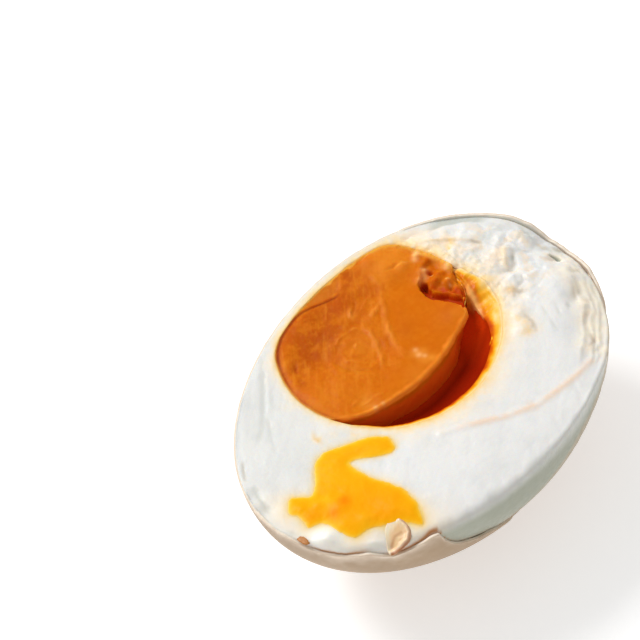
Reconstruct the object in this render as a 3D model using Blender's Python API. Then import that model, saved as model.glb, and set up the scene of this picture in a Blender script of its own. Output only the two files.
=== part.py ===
"""Half of a salted duck egg, cut level along its length and resting on its round side.

Metres, +Z up, +X towards the blunt end. The cut face is modelled at z = 0, and the finished half
is lifted at the end, so that its origin is the middle of the foot of its box.
"""
import math

import bmesh
import bpy

MM = 0.001

# The egg
LENGTH = 62.0 * MM
WIDTH = 46.5 * MM
BLUNTNESS = 0.043          # the share by which the blunt end is fuller and the tip slimmer
FOOT_SAG = 0.25 * MM       # how much the round underside is flattened where it rests
GAP = 0.3 * MM             # clearance between pieces that touch

# The shell
SHELL_WALL = 0.45 * MM
# Depth of its broken edge below the cut in millimetres, by the angle round the egg in degrees
SHELL_EDGE = [
    (0, 3.0), (7, 1.2), (14, 0.1), (40, 0.0), (75, 0.1), (110, 0.3), (150, 0.1), (185, 0.2),
    (203, 0.4), (211, 1.8), (217, 1.3), (223, 0.7), (226, 11.5), (236, 14.0), (262, 15.5),
    (290, 14.5), (318, 12.5), (324, 9.0), (329, 2.6), (340, 2.2), (350, 3.2),
]
SHELL_BREAK = (226, 324)   # the front, where the shell is peeled away, in degrees

# The white
WHITE_WALL = 0.7 * MM      # its thinnest wall, where the yolk touches the back
BARE_SWELL = 0.35 * MM     # it swells by this much where no shell holds it
BARE_FADE = 7              # degrees over which the swelling grows from the shell's edge
# Depth of its edge below the cut, and radius of that edge, in millimetres by degrees
WHITE_EDGE = [
    (0, 3.3), (7, 2.2), (16, 1.3), (45, 1.3), (62, 0.5), (90, 0.3), (170, 0.3), (205, 0.6),
    (213, 2.1), (219, 1.6), (228, 0.6), (255, 0.5), (300, 0.2), (322, 0.6), (332, 2.4), (350, 3.4),
]
WHITE_ROUNDING = [
    (0, 1.4), (20, 0.7), (60, 0.4), (180, 0.5), (205, 0.8), (235, 1.9), (262, 1.5), (285, 0.7),
    (320, 0.8), (345, 1.5),
]
EDGE_FADE = 5.0 * MM       # the lowered edge rises to the face over this distance
# Lumps and hollows of the face: x, y, radius and height in millimetres
FACE_RELIEF = [
    (-28.2, -5.8, 1.2, 0.8), (-16.0, 12.5, 5.0, -0.35), (-22.0, 9.0, 3.0, 0.25),
    (-4.0, -12.5, 6.0, 0.2), (8.0, -15.0, 6.0, -0.25), (14.2, -7.2, 1.6, 0.5),
    (19.0, -3.4, 1.4, -0.4), (17.9, 7.3, 1.2, 0.5), (22.3, 0.6, 1.6, -0.7), (24.0, 3.0, 2.0, 0.5),
    (20.6, 6.2, 1.8, 0.4), (24.6, 9.4, 2.0, 0.5), (28.0, 1.6, 1.6, 0.6), (26.7, -3.8, 1.4, -0.9),
    (25.0, -7.0, 2.4, 0.5), (22.5, -10.3, 1.8, -0.5), (18.5, -14.0, 2.4, -0.4),
    (20.0, 13.5, 1.8, 0.4),
]

# The yolk: a ball off the middle, pressed flat against the back of the white
YOLK_X = 3.6 * MM
YOLK_Y = 8.4 * MM
YOLK_RADIUS = 16.3 * MM
YOLK_DEPTH = 15.6 * MM
LINING = 0.6 * MM          # the runny outer layer round the firm core
LINING_TOP = 0.45 * MM     # its edge lies this far below the cut
CORE_INSET = GAP + LINING + GAP
CORE_TOP = 0.25 * MM       # the core's cut face stands this far above the white's
CORE_ROUNDING = 0.35 * MM
MOAT_DEPTH = 4.3 * MM      # depth of the hollow where the core has shrunk from the white
MOAT_LINING = 1.1 * MM     # runny yolk left on the hollow's outer wall
CORE_BATTER = 0.5 * MM     # the core's wall leans out by this much down to the hollow's floor
# The core's broken front edge, left to right, in millimetres
CORE_FRONT = [
    (-11.4, 4.4), (-9.8, 2.3), (-7.0, 1.2), (-3.0, 0.1), (1.0, -0.6), (4.4, -0.3), (6.0, 0.4),
    (11.0, 0.6), (12.7, 1.3), (13.0, 3.2), (12.4, 5.3), (11.4, 7.0), (11.9, 9.0), (14.0, 9.7),
    (17.6, 10.6),
]
CORE_RELIEF = [
    (11.5, 3.0, 3.0, 0.5), (-5.5, 15.0, 3.5, -0.4), (0.0, 20.5, 2.2, 0.4), (7.0, 11.0, 2.6, 0.35),
    (1.0, 8.0, 2.5, -0.3), (14.5, 14.5, 2.2, 0.4), (-2.0, 2.5, 2.5, -0.2),
]

# The runny yolk spilt on the white, and its outline in millimetres
SPILL_THICK = 0.8 * MM
SPILL_ROUNDING = 0.4 * MM
SPILL_SMOOTHING = 3        # points drawn for each point of the outline
SPILL_MESH = 2.6 * MM      # longest edge, so that the pool follows the face below it
SPILL_OUTLINE = [
    (-11.3, -2.2), (-12.2, -3.9), (-13.8, -4.0), (-16.2, -1.7), (-17.5, -2.4), (-17.0, -6.6),
    (-16.7, -11.0), (-18.2, -14.2), (-19.9, -15.2), (-21.0, -12.4), (-23.2, -9.6), (-25.8, -8.3),
    (-26.2, -4.8), (-28.3, -2.0), (-28.2, 1.6), (-25.9, 3.4), (-24.6, 1.0), (-21.6, 2.1),
    (-18.2, 4.3), (-15.2, 3.6), (-12.6, 0.8),
]

# Fineness of the surfaces
EGG_STEPS = 80
YOLK_STEPS = 60
SHELL_RINGS = 8
WHITE_RINGS = 7
FACE_RINGS = 7
CAVITY_RINGS = 6
CORE_FACE_RINGS = 5

FOOT = FOOT_SAG - WIDTH / 2


def by_angle(table, degrees):
    """The value at an angle, read from rising (angle, value) pairs that go once round."""
    degrees %= 360.0
    turn = table + [(table[0][0] + 360.0, table[0][1])]
    for (start, low), (end, high) in zip(turn, turn[1:]):
        if start <= degrees <= end:
            return low + (high - low) * (degrees - start) / (end - start)
    return table[0][1]


def relief(bumps, x, y):
    """Height of the round lumps and hollows at a point of a cut face."""
    height = 0.0
    for bump_x, bump_y, radius, rise in bumps:
        away = math.hypot(x / MM - bump_x, y / MM - bump_y) / radius
        height += rise * MM * math.exp(-away * away)
    return height


def egg_point(around, down, inset):
    """A point of the egg's surface, or of the like surface `inset` within it.

    `around` is the plan angle from the blunt end and `down` the angle below the cut.
    """
    along = math.cos(around) * math.cos(down)
    half_width = WIDTH / 2 * (1 + BLUNTNESS * along) - inset
    x = (LENGTH / 2 - inset) * along
    y = half_width * math.sin(around) * math.cos(down)
    z = -half_width * math.sin(down)
    return (x, y, max(z, FOOT + inset))


def down_at(around, depth, inset):
    """The angle below the cut at which that surface is `depth` deep."""
    down = 0.0
    for _ in range(8):
        along = math.cos(around) * math.cos(down)
        half_width = WIDTH / 2 * (1 + BLUNTNESS * along) - inset
        down = math.asin(min(depth / half_width, 1.0))
    return down


def egg_rings(first_down, inset, rings):
    """Rings of the egg's surface from its edge down to its flat foot, and the point in the middle.

    `first_down` and `inset` are functions of the angle round the egg and, for `inset`, of `down`.
    """
    foot_down = math.asin(1 - FOOT_SAG / (WIDTH / 2))
    loops = []
    for ring in range(rings):
        part = ring / (rings - 1)
        loop = []
        for step in range(EGG_STEPS):
            around = math.tau * step / EGG_STEPS
            start = first_down(around)
            down = start + (foot_down - start) * part
            x, y, z = egg_point(around, down, inset(around, down))
            if ring == rings - 1:
                z = FOOT + inset(around, down)
            loop.append((x, y, z))
        loops.append(loop)
    centre = (0.0, 0.0, FOOT + inset(0.0, math.pi / 2))
    return loops, centre


def skin(name, loops, first_point, last_point, colour, roughness):
    """One closed body from rings of equal count, closed by a point at each end."""
    mesh = bpy.data.meshes.new(name)
    form = bmesh.new()
    rings = [[form.verts.new(point) for point in loop] for loop in loops]
    ends = ((form.verts.new(first_point), rings[0], False),
            (form.verts.new(last_point), rings[-1], True))
    count = len(loops[0])
    for upper, lower in zip(rings, rings[1:]):
        for i in range(count):
            j = (i + 1) % count
            form.faces.new((upper[i], upper[j], lower[j], lower[i]))
    for tip, ring, turned in ends:
        for i in range(count):
            j = (i + 1) % count
            corner = (tip, ring[i], ring[j]) if turned else (tip, ring[j], ring[i])
            form.faces.new(corner)
    bmesh.ops.triangulate(form, faces=form.faces)
    bmesh.ops.recalc_face_normals(form, faces=form.faces)
    form.to_mesh(mesh)
    form.free()
    return place(name, mesh, colour, roughness)


def place(name, mesh, colour, roughness):
    """An object for a finished mesh, with its own material."""
    material = bpy.data.materials.new(name)
    material.use_nodes = True
    shader = material.node_tree.nodes["Principled BSDF"]
    shader.inputs["Base Color"].default_value = (*colour, 1.0)
    shader.inputs["Roughness"].default_value = roughness
    shader.inputs["Metallic"].default_value = 0.0
    mesh.materials.append(material)
    mesh.shade_smooth()
    mesh.set_sharp_from_angle(angle=math.radians(40))
    piece = bpy.data.objects.new(name, mesh)
    bpy.context.collection.objects.link(piece)
    return piece


def make_shell():
    """The thin shell: a cup with a jagged edge, peeled away along the front."""
    def edge(around):
        depth = by_angle(SHELL_EDGE, math.degrees(around)) * MM
        return down_at(around, depth, 0.0)

    outside, outer_foot = egg_rings(edge, lambda around, down: 0.0, SHELL_RINGS)
    inside, inner_foot = egg_rings(edge, lambda around, down: SHELL_WALL, SHELL_RINGS)
    return skin("shell", outside[::-1] + inside, outer_foot, inner_foot, (0.60, 0.46, 0.35), 0.6)


def reach(angle, depth, inset):
    """How far out from the yolk's axis the egg's surface, `inset` within, lies at a depth."""
    low, high = 0.0, LENGTH
    half_length = LENGTH / 2 - inset
    for _ in range(40):
        middle = (low + high) / 2
        x = YOLK_X + middle * math.cos(angle)
        y = YOLK_Y + middle * math.sin(angle)
        along = x / half_length
        half_width = WIDTH / 2 * (1 + BLUNTNESS * along) - inset
        inside = along * along + (y * y + depth * depth) / (half_width * half_width) < 1
        low, high = (middle, high) if inside else (low, middle)
    return low


def yolk_wall(angle, depth, inset):
    """Radius of the yolk's ball at a depth, where the egg's own wall leaves room for it."""
    sunk = min(depth / (YOLK_DEPTH - inset), 1.0)
    ball = (YOLK_RADIUS - inset) * math.sqrt(1 - sunk * sunk)
    return min(ball, reach(angle, depth, SHELL_WALL + GAP + WHITE_WALL + inset))


def about_yolk(angle, radius, z):
    """A point at a distance from the yolk's axis."""
    return (YOLK_X + radius * math.cos(angle), YOLK_Y + radius * math.sin(angle), z)


def between(a, b, part):
    return tuple(p + (q - p) * part for p, q in zip(a, b))


def edge_depth(around):
    """How far the edge of the white lies below the cut."""
    return by_angle(WHITE_EDGE, math.degrees(around)) * MM


def face_height(x, y):
    """Height of the white's cut face, which falls to its edge and has lumps and hollows."""
    around = math.atan2(y / WIDTH, x / LENGTH)
    full = math.hypot(2 * x / LENGTH, 2 * y / WIDTH)
    inward = (1 / max(full, 0.1) - 1) * math.hypot(x, y) - SHELL_WALL - GAP
    level = max(0.0, min(1.0, inward / EDGE_FADE))
    return relief(FACE_RELIEF, x, y) - edge_depth(around) * (1 - level) ** 1.6


def make_white():
    """The cooked white: the cut face with its rounded edge, the bare side and the yolk's hollow."""
    def rounding(around):
        return by_angle(WHITE_ROUNDING, math.degrees(around)) * MM

    def inset(around, down):
        held = SHELL_WALL + GAP
        start, end = SHELL_BREAK
        degrees = math.degrees(around)
        sideways = min(degrees - start, end - degrees) / BARE_FADE
        shell_depth = by_angle(SHELL_EDGE, degrees) * MM
        below = (shell_depth - WIDTH / 2 * math.sin(down)) / (4 * MM) - 0.3
        bare = max(0.0, min(1.0, sideways, below))
        return held - BARE_SWELL * bare

    def side_start(around):
        return down_at(around, edge_depth(around) + rounding(around), inset(around, 0.0))

    side, foot = egg_rings(side_start, inset, WHITE_RINGS)
    corners, face_start, hollow_edge, angles = [], [], [], []
    for step in range(EGG_STEPS):
        around = math.tau * step / EGG_STEPS
        depth = edge_depth(around)
        down = down_at(around, depth, inset(around, 0.0))
        corner = egg_point(around, down, inset(around, down))
        angle = math.atan2(corner[1] - YOLK_Y, corner[0] - YOLK_X)
        radius = yolk_wall(angle, 0.0, 0.0)
        hollow = about_yolk(angle, radius, corner[2])
        width = math.hypot(corner[0] - hollow[0], corner[1] - hollow[1])
        share = min(rounding(around) / width, 0.3)
        corners.append(corner)
        face_start.append(between(corner, hollow, share))
        hollow_edge.append(hollow)
        angles.append(angle)
    rounded = []
    for part in (0.35, 0.7):
        rounded.append([
            between(between(low, corner, part), between(corner, high, part), part)
            for low, corner, high in zip(side[0], corners, face_start)])
    face = [face_start]
    for ring in range(1, FACE_RINGS):
        part = ring / (FACE_RINGS - 1)
        loop = []
        for start, end in zip(face_start, hollow_edge):
            x, y, _ = between(start, end, part)
            loop.append((x, y, face_height(x, y)))
        face.append(loop)
    hollow = []
    for ring in range(1, CAVITY_RINGS + 1):
        sunk = math.pi / 2 * ring / (CAVITY_RINGS + 1)
        depth = YOLK_DEPTH * math.sin(sunk)
        hollow.append([about_yolk(a, yolk_wall(a, depth, 0.0), -depth) for a in angles])
    loops = side[::-1] + rounded + face + hollow
    bottom = (YOLK_X, YOLK_Y, -YOLK_DEPTH)
    return skin("egg_white", loops, foot, bottom, (0.86, 0.85, 0.81), 0.35)


def front_cut(angle):
    """Distance from the yolk's axis to the core's broken front edge, or far off elsewhere."""
    cut = []
    for x, y in CORE_FRONT:
        x, y = x * MM - YOLK_X, y * MM - YOLK_Y
        cut.append((math.atan2(y, x) % math.tau, math.hypot(x, y)))
    start = cut[0][0]
    cut = [((turn - start) % math.tau, radius) for turn, radius in cut]
    turn = (angle - start) % math.tau
    for (low, near), (high, far) in zip(cut, cut[1:]):
        if low <= turn <= high:
            return near + (far - near) * (turn - low) / (high - low)
    return YOLK_RADIUS


def core_radius(angle, depth):
    """Radius of the firm core at a depth."""
    lean = CORE_BATTER * min(max(depth, 0.0) / MOAT_DEPTH, 1.0)
    return min(yolk_wall(angle, max(depth, 0.0), CORE_INSET), front_cut(angle) + lean)


def core_levels():
    """Depths at which the core and its lining are drawn, from the hollow's floor down."""
    deepest = YOLK_DEPTH - CORE_INSET
    first = math.asin(MOAT_DEPTH / deepest)
    turns = [first + (math.pi / 2 - first) * ring / CAVITY_RINGS for ring in range(CAVITY_RINGS)]
    return [deepest * math.sin(turn) for turn in turns]


YOLK_ANGLES = [math.tau * step / YOLK_STEPS for step in range(YOLK_STEPS)]


def make_core():
    """The firm orange core, with its broken front and the corner that stands up."""
    loops = [[about_yolk(a, core_radius(a, depth), -depth) for a in YOLK_ANGLES]
             for depth in core_levels()[::-1]]
    half_way = MOAT_DEPTH / 2
    loops.append([about_yolk(a, core_radius(a, half_way), -half_way) for a in YOLK_ANGLES])

    def top(a, share, drop):
        x, y, _ = about_yolk(a, core_radius(a, 0.0) * share, 0.0)
        return (x, y, CORE_TOP + relief(CORE_RELIEF, x, y) - drop)

    loops.append([top(a, 1.0, CORE_ROUNDING) for a in YOLK_ANGLES])
    for ring in range(CORE_FACE_RINGS):
        share = 0.97 * (1 - ring / CORE_FACE_RINGS)
        loops.append([top(a, share, 0.0) for a in YOLK_ANGLES])
    deepest = (YOLK_X, YOLK_Y, CORE_INSET - YOLK_DEPTH)
    middle = (YOLK_X, YOLK_Y, CORE_TOP + relief(CORE_RELIEF, YOLK_X, YOLK_Y))
    return skin("yolk", loops, deepest, middle, (0.70, 0.17, 0.010), 0.3)


def make_lining():
    """The dark, runny outer yolk: a thin bowl round the core, pooled in the hollow at the front."""
    def outer(depth):
        return [about_yolk(a, yolk_wall(a, depth, GAP), -depth) for a in YOLK_ANGLES]

    deepest = YOLK_DEPTH - GAP
    turns = [math.pi / 2 * ring / (CAVITY_RINGS + 1) for ring in range(1, CAVITY_RINGS + 1)]
    loops = [outer(deepest * math.sin(turn)) for turn in turns[::-1]]
    loops.append(outer(LINING_TOP))

    def inner(a, depth):
        clear = front_cut(a) < yolk_wall(a, 0.0, CORE_INSET) - MOAT_LINING
        layer = MOAT_LINING if clear else LINING
        return about_yolk(a, yolk_wall(a, depth, GAP + layer), -depth)

    loops.append([inner(a, LINING_TOP) for a in YOLK_ANGLES])
    loops.append([inner(a, MOAT_DEPTH / 2) for a in YOLK_ANGLES])
    loops.append([inner(a, MOAT_DEPTH - GAP) for a in YOLK_ANGLES])
    for depth in core_levels():
        loops.append([about_yolk(a, core_radius(a, depth) + GAP, -depth) for a in YOLK_ANGLES])
    under = (YOLK_X, YOLK_Y, -deepest)
    inside = (YOLK_X, YOLK_Y, CORE_INSET - GAP - YOLK_DEPTH)
    return skin("soft_yolk", loops, under, inside, (0.26, 0.010, 0.001), 0.12)


def make_spill():
    """The runny yolk spilt on the white: a low pool with a rounded edge, lying on the face."""
    count = len(SPILL_OUTLINE)
    outline = []
    for i in range(count):
        p = [SPILL_OUTLINE[(i + k) % count] for k in (-1, 0, 1, 2)]
        for step in range(SPILL_SMOOTHING):
            t = step / SPILL_SMOOTHING
            outline.append(tuple(
                MM * 0.5 * (2 * p[1][k] + (p[2][k] - p[0][k]) * t
                            + (2 * p[0][k] - 5 * p[1][k] + 4 * p[2][k] - p[3][k]) * t * t
                            + (3 * p[1][k] - p[0][k] - 3 * p[2][k] + p[3][k]) * t ** 3)
                for k in (0, 1)))
    total = len(outline)
    drawn = []
    for inset, z in ((SPILL_ROUNDING / 2, GAP), (0.0, GAP + SPILL_ROUNDING / 2),
                     (SPILL_ROUNDING, GAP + SPILL_THICK)):
        loop = []
        for i, (x, y) in enumerate(outline):
            ahead, behind = outline[(i + 1) % total], outline[i - 1]
            run = math.hypot(ahead[0] - behind[0], ahead[1] - behind[1])
            side = ((ahead[1] - behind[1]) / run, (behind[0] - ahead[0]) / run)
            loop.append((x + side[0] * inset, y + side[1] * inset, z))
        drawn.append(loop)
    mesh = bpy.data.meshes.new("yolk_spill")
    form = bmesh.new()
    rings = [[form.verts.new(point) for point in loop] for loop in drawn]
    for lower, upper in zip(rings, rings[1:]):
        for i in range(total):
            j = (i + 1) % total
            form.faces.new((lower[i], lower[j], upper[j], upper[i]))
    form.faces.new(rings[0])
    form.faces.new(rings[-1])
    bmesh.ops.triangulate(form, faces=form.faces)
    for _ in range(2):
        wide = [edge for edge in form.edges if edge.calc_length() > SPILL_MESH]
        bmesh.ops.subdivide_edges(form, edges=wide, cuts=1)
        bmesh.ops.triangulate(form, faces=form.faces)
    for point in form.verts:
        point.co.z += face_height(point.co.x, point.co.y)
    bmesh.ops.recalc_face_normals(form, faces=form.faces)
    form.to_mesh(mesh)
    form.free()
    return place("yolk_spill", mesh, (0.98, 0.42, 0.006), 0.2)


def settle(pieces):
    """Lifts the half on to its foot, with its origin at the middle of the foot of its box."""
    corners = [v.co.copy() for piece in pieces for v in piece.data.vertices]
    low = [min(c[k] for c in corners) for k in range(3)]
    high = [max(c[k] for c in corners) for k in range(3)]
    shift = ((low[0] + high[0]) / 2, (low[1] + high[1]) / 2, low[2])
    for piece in pieces:
        for v in piece.data.vertices:
            v.co = [v.co[k] - shift[k] for k in range(3)]


for leftover in list(bpy.data.objects):
    bpy.data.objects.remove(leftover)

settle([make_shell(), make_white(), make_lining(), make_core(), make_spill()])
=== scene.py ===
"""Half of a salted duck egg on a pale table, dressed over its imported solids.

Form is worked out in millimetres from the middle of the cut face, with +X towards the blunt end
and +Z out of the cut. Each finished mesh is put into the frame in metres.
"""
import itertools
import math

import bpy
import numpy as np
from mathutils import Matrix, Vector


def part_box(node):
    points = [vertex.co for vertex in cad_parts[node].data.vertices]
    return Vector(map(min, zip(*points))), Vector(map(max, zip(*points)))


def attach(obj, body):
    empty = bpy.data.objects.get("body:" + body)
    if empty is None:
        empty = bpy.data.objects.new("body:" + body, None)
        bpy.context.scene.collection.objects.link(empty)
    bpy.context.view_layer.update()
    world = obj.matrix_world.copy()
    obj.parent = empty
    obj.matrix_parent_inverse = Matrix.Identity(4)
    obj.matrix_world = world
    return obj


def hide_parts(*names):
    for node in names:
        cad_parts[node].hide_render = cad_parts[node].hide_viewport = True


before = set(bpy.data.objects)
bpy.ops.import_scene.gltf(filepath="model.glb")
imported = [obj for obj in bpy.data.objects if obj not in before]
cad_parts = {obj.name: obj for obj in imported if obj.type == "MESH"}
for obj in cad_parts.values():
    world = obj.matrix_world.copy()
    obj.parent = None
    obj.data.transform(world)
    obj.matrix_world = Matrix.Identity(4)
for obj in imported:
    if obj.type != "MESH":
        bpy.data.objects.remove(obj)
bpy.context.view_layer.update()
bpy.ops.object.select_all(action="DESELECT")

MM = 0.001

# Table, light and camera
# The half egg lies on a smooth white table top. A large soft window stands behind it and above,
# and the pale room fills in the side that is turned away.
TABLE_SIDE = 3.0
WINDOW_PLACE = Vector((-0.02, 0.42, 0.52))
WINDOW_SIDE = 0.34
WINDOW_WATTS = 3.5
ROOM_BRIGHTNESS = 0.50
CAMERA_AZIMUTH = math.radians(-42.63)
CAMERA_ELEVATION = math.radians(51.99)
CAMERA_ROLL = math.radians(-13.27)
CAMERA_DISTANCE = 0.48
CAMERA_LENS = 195.06
PICTURE_SIDE = 640
FACE_PIXEL = (419.4, 376.7)     # where the middle of the cut face lies in the picture
LENGTH = 62.0                   # of the whole egg, in millimetres
WIDTH = 46.5
WIDEST = 1.0009                 # of its widest ring beside that, as its blunt end is fuller

shell_low, shell_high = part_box("shell")
FACE_MIDDLE = Vector((shell_low.x + LENGTH / 2 * MM, shell_high.y - WIDTH / 2 * MM * WIDEST,
                      shell_high.z))

bpy.ops.mesh.primitive_plane_add(size=TABLE_SIDE)
table_top = bpy.context.object
table_top.name = "table_top"
table_finish = bpy.data.materials.new("white table")
table_finish.use_nodes = True
table_shader = table_finish.node_tree.nodes["Principled BSDF"]
table_shader.inputs["Base Color"].default_value = (0.80, 0.80, 0.80, 1)
table_shader.inputs["Roughness"].default_value = 0.7
table_shader.inputs["Specular IOR Level"].default_value = 0.2
table_shader.inputs["Emission Color"].default_value = (1.0, 1.0, 1.0, 1)
table_shader.inputs["Emission Strength"].default_value = 0.46
table_top.data.materials.append(table_finish)

bpy.ops.object.light_add(type="AREA", location=WINDOW_PLACE)
window = bpy.context.object
window.name = "window"
window.data.size = WINDOW_SIDE
window.data.energy = WINDOW_WATTS
window.rotation_mode = "QUATERNION"
window.rotation_quaternion = (WINDOW_PLACE - FACE_MIDDLE).to_track_quat("Z", "Y")

room = bpy.data.worlds.new("pale room")
room.use_nodes = True
room.node_tree.nodes["Background"].inputs["Color"].default_value = (1.0, 1.0, 1.0, 1)
room.node_tree.nodes["Background"].inputs["Strength"].default_value = ROOM_BRIGHTNESS
bpy.context.scene.world = room
bpy.context.scene.view_settings.view_transform = "Standard"

back = Vector((math.sin(CAMERA_AZIMUTH) * math.cos(CAMERA_ELEVATION),
               -math.cos(CAMERA_AZIMUTH) * math.cos(CAMERA_ELEVATION),
               math.sin(CAMERA_ELEVATION)))
level = Vector((math.cos(CAMERA_AZIMUTH), math.sin(CAMERA_AZIMUTH), 0))
right = math.cos(CAMERA_ROLL) * level + math.sin(CAMERA_ROLL) * back.cross(level)
upward = back.cross(right)
pixel = CAMERA_DISTANCE * 36.0 / CAMERA_LENS / PICTURE_SIDE
aim = FACE_MIDDLE - right * (FACE_PIXEL[0] - PICTURE_SIDE / 2) * pixel
aim += upward * (FACE_PIXEL[1] - PICTURE_SIDE / 2) * pixel
bpy.ops.object.camera_add(location=FACE_MIDDLE + back * CAMERA_DISTANCE)
camera = bpy.context.object
camera.data.lens = CAMERA_LENS
backward = (camera.location - aim).normalized()
upward = (upward - backward * upward.dot(backward)).normalized()
camera.rotation_mode = "QUATERNION"
turned = Matrix((upward.cross(backward), upward, backward)).transposed()
camera.rotation_quaternion = turned.to_quaternion()
bpy.context.scene.camera = camera
bpy.ops.object.select_all(action="DESELECT")

# Egg white
# The set white is firm, wet and a little see-through, yellowed where the yolk has seeped into it.
# It was cut with a knife that tore its blunt end, and its front is bare where the shell is peeled.
BLUNTNESS = 0.043
FOOT_SAG = 0.25
SHELL_WALL = 0.45
SKIN_WALL = 0.12                # the skin between shell and white
BARE_SWELL = 0.22               # the white swells where no shell holds it
WHITE_WALL = 1.0                # its thinnest wall, behind the yolk, with the gap to the shell
YOLK_X, YOLK_Y = 3.6, 8.4
YOLK_RADIUS = 16.3
YOLK_DEPTH = 15.6
SHELL_BREAK = (231, 322)
# Depth of the shell's edge below the cut by the angle round the egg
SHELL_EDGE = [
    (0, 2.5), (7, 0.9), (14, 0.1), (40, 0.04), (60, 0.12), (110, 0.16), (150, 0.12), (176, 0.1),
    (181, 0.15), (187, 0.7), (194, 1.4), (202, 1.8), (210, 1.5), (217, 3.0), (221, 2.5),
    (225, 1.9), (229, 1.1), (231.5, 1.1), (232.5, 3.4), (234, 4.8), (237, 6.6), (240, 7.8),
    (245, 8.6), (250, 11.0), (258, 14.5), (275, 15.5), (288, 14.5), (294, 13.2), (300, 11.7),
    (309, 10.6), (314, 9.6), (319, 8.2), (323, 5.0), (327, 3.2), (331, 2.8), (340, 1.9), (350, 2.6),
]
# The same for the white's edge, which shows where the shell has chipped or come away
WHITE_EDGE = [
    (0, 2.5), (7, 1.3), (14, 0.5), (22, 0.4), (30, 0.45), (37, 0.3), (45, 0.1), (60, 0.0),
    (90, 0.0), (170, 0.0), (184, 0.1), (190, 0.3), (200, 0.7), (206, 0.8), (213, 1.7),
    (219, 1.4), (226, 0.8), (232, 0.5), (255, 0.4), (290, 0.3), (298, 0.5), (304, 1.3), (310, 1.7),
    (318, 1.8), (326, 2.2), (334, 2.3), (350, 2.7),
]
# How far that edge is rounded
WHITE_ROUNDING = [
    (0, 1.0), (20, 0.4), (40, 0.25), (60, 0.15), (176, 0.2), (195, 0.8), (212, 1.0), (235, 1.9),
    (262, 1.5), (285, 0.7), (320, 0.5), (345, 0.8),
]
# Gap between the white and the shell at the rim, where the skin has come away
SKIN_GAP = [
    (0, -0.1), (20, -0.16), (30, -0.2), (40, -0.25), (60, -0.3), (176, -0.3), (186, -0.2),
    (191, -0.14), (230, -0.14), (335, -0.14), (348, -0.14),
]
# How strongly a brown line is painted along the shell's edge as the shadow of the gap between shell
# and white
SEAM_SHADOW = [
    (0, 0.2), (10, 0.0), (190, 0.0), (193, 1.0), (207, 0.9), (210, 0.1), (214, 0.1), (217, 1.0),
    (231, 1.0), (235, 0.5), (246, 0.3), (255, 0.0), (300, 0.0), (320, 0.4), (332, 0.5), (350, 0.3),
]
# How much painted shade darkens the bare side, by the angle round the egg
SIDE_SHADE = [(228, 0.0), (236, 0.3), (250, 0.35), (270, 0.4), (284, 0.55), (294, 0.6), (303, 0.3),
             (312, 0.1), (322, 0.0)]
# Depth below which remains of skin still cling to the bare side
SKIN_REMAINS = [(226, 15), (240, 10.8), (250, 9.4), (270, 7.0), (280, 5.2), (290, 3.2), (300, 1.4),
                (308, 0.8), (320, 1.0)]
EDGE_FADE = 6.0                 # how far in from its edge the face starts to fall
CUT_ANGLE = 0.59                # way in which the knife cut the white, in radians
TERRACE_DROP = 0.8              # of the ragged ledges at the blunt end, all together
# Lumps and hollows of the cut face: x, y, radius and height
FACE_RELIEF = [
    (-28.2, -5.6, 1.4, 0.9), (17.7, 7.7, 0.7, 0.4), (-26.0, -11.6, 1.2, 0.5),
    (-22.0, -16.2, 0.9, 0.6), (-24.4, -13.4, 0.8, -0.5), (-29.3, 4.6, 1.3, -0.4),
    (-27.9, 7.4, 1.2, -0.3), (-16.0, 12.5, 5.0, -0.35), (-22.0, 9.0, 3.0, 0.25),
    (-4.0, -12.5, 6.0, 0.2), (8.0, -15.0, 6.0, -0.25), (14.2, -7.4, 1.3, 0.5),
    (15.9, -5.4, 1.0, 0.35), (19.0, -3.4, 1.0, -0.4), (22.3, 0.6, 1.1, -0.7), (24.0, 2.8, 1.6, 0.5),
    (20.6, 6.2, 1.6, 0.4), (24.6, 9.4, 1.8, 0.5), (28.0, 1.6, 1.2, 0.5), (26.9, -3.6, 0.8, -0.7),
    (25.0, -7.0, 2.2, 0.5), (22.5, -10.3, 1.2, -0.5), (18.5, -14.0, 2.4, -0.4),
    (20.0, 13.5, 1.5, 0.4), (20.8, -0.6, 0.9, 0.3), (18.6, 1.6, 1.2, 0.25),
]
# Width over which yolk has stained the white, by the angle round the yolk
STAIN_WIDTH = [
    (0, 3.0), (20, 2.8), (40, 2.6), (60, 1.7), (90, 1.2), (135, 1.0), (180, 0.9), (215, 1.1),
    (232, 1.9), (252, 2.1), (270, 1.9), (305, 1.9), (335, 2.4),
]
# How strong that stain is at the hollow itself
STAIN_STRENGTH = [(0, 0.70), (30, 0.72), (55, 0.70), (80, 0.75), (110, 0.85), (200, 0.85),
                  (235, 0.88), (275, 0.84), (310, 0.76), (340, 0.70)]
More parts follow.
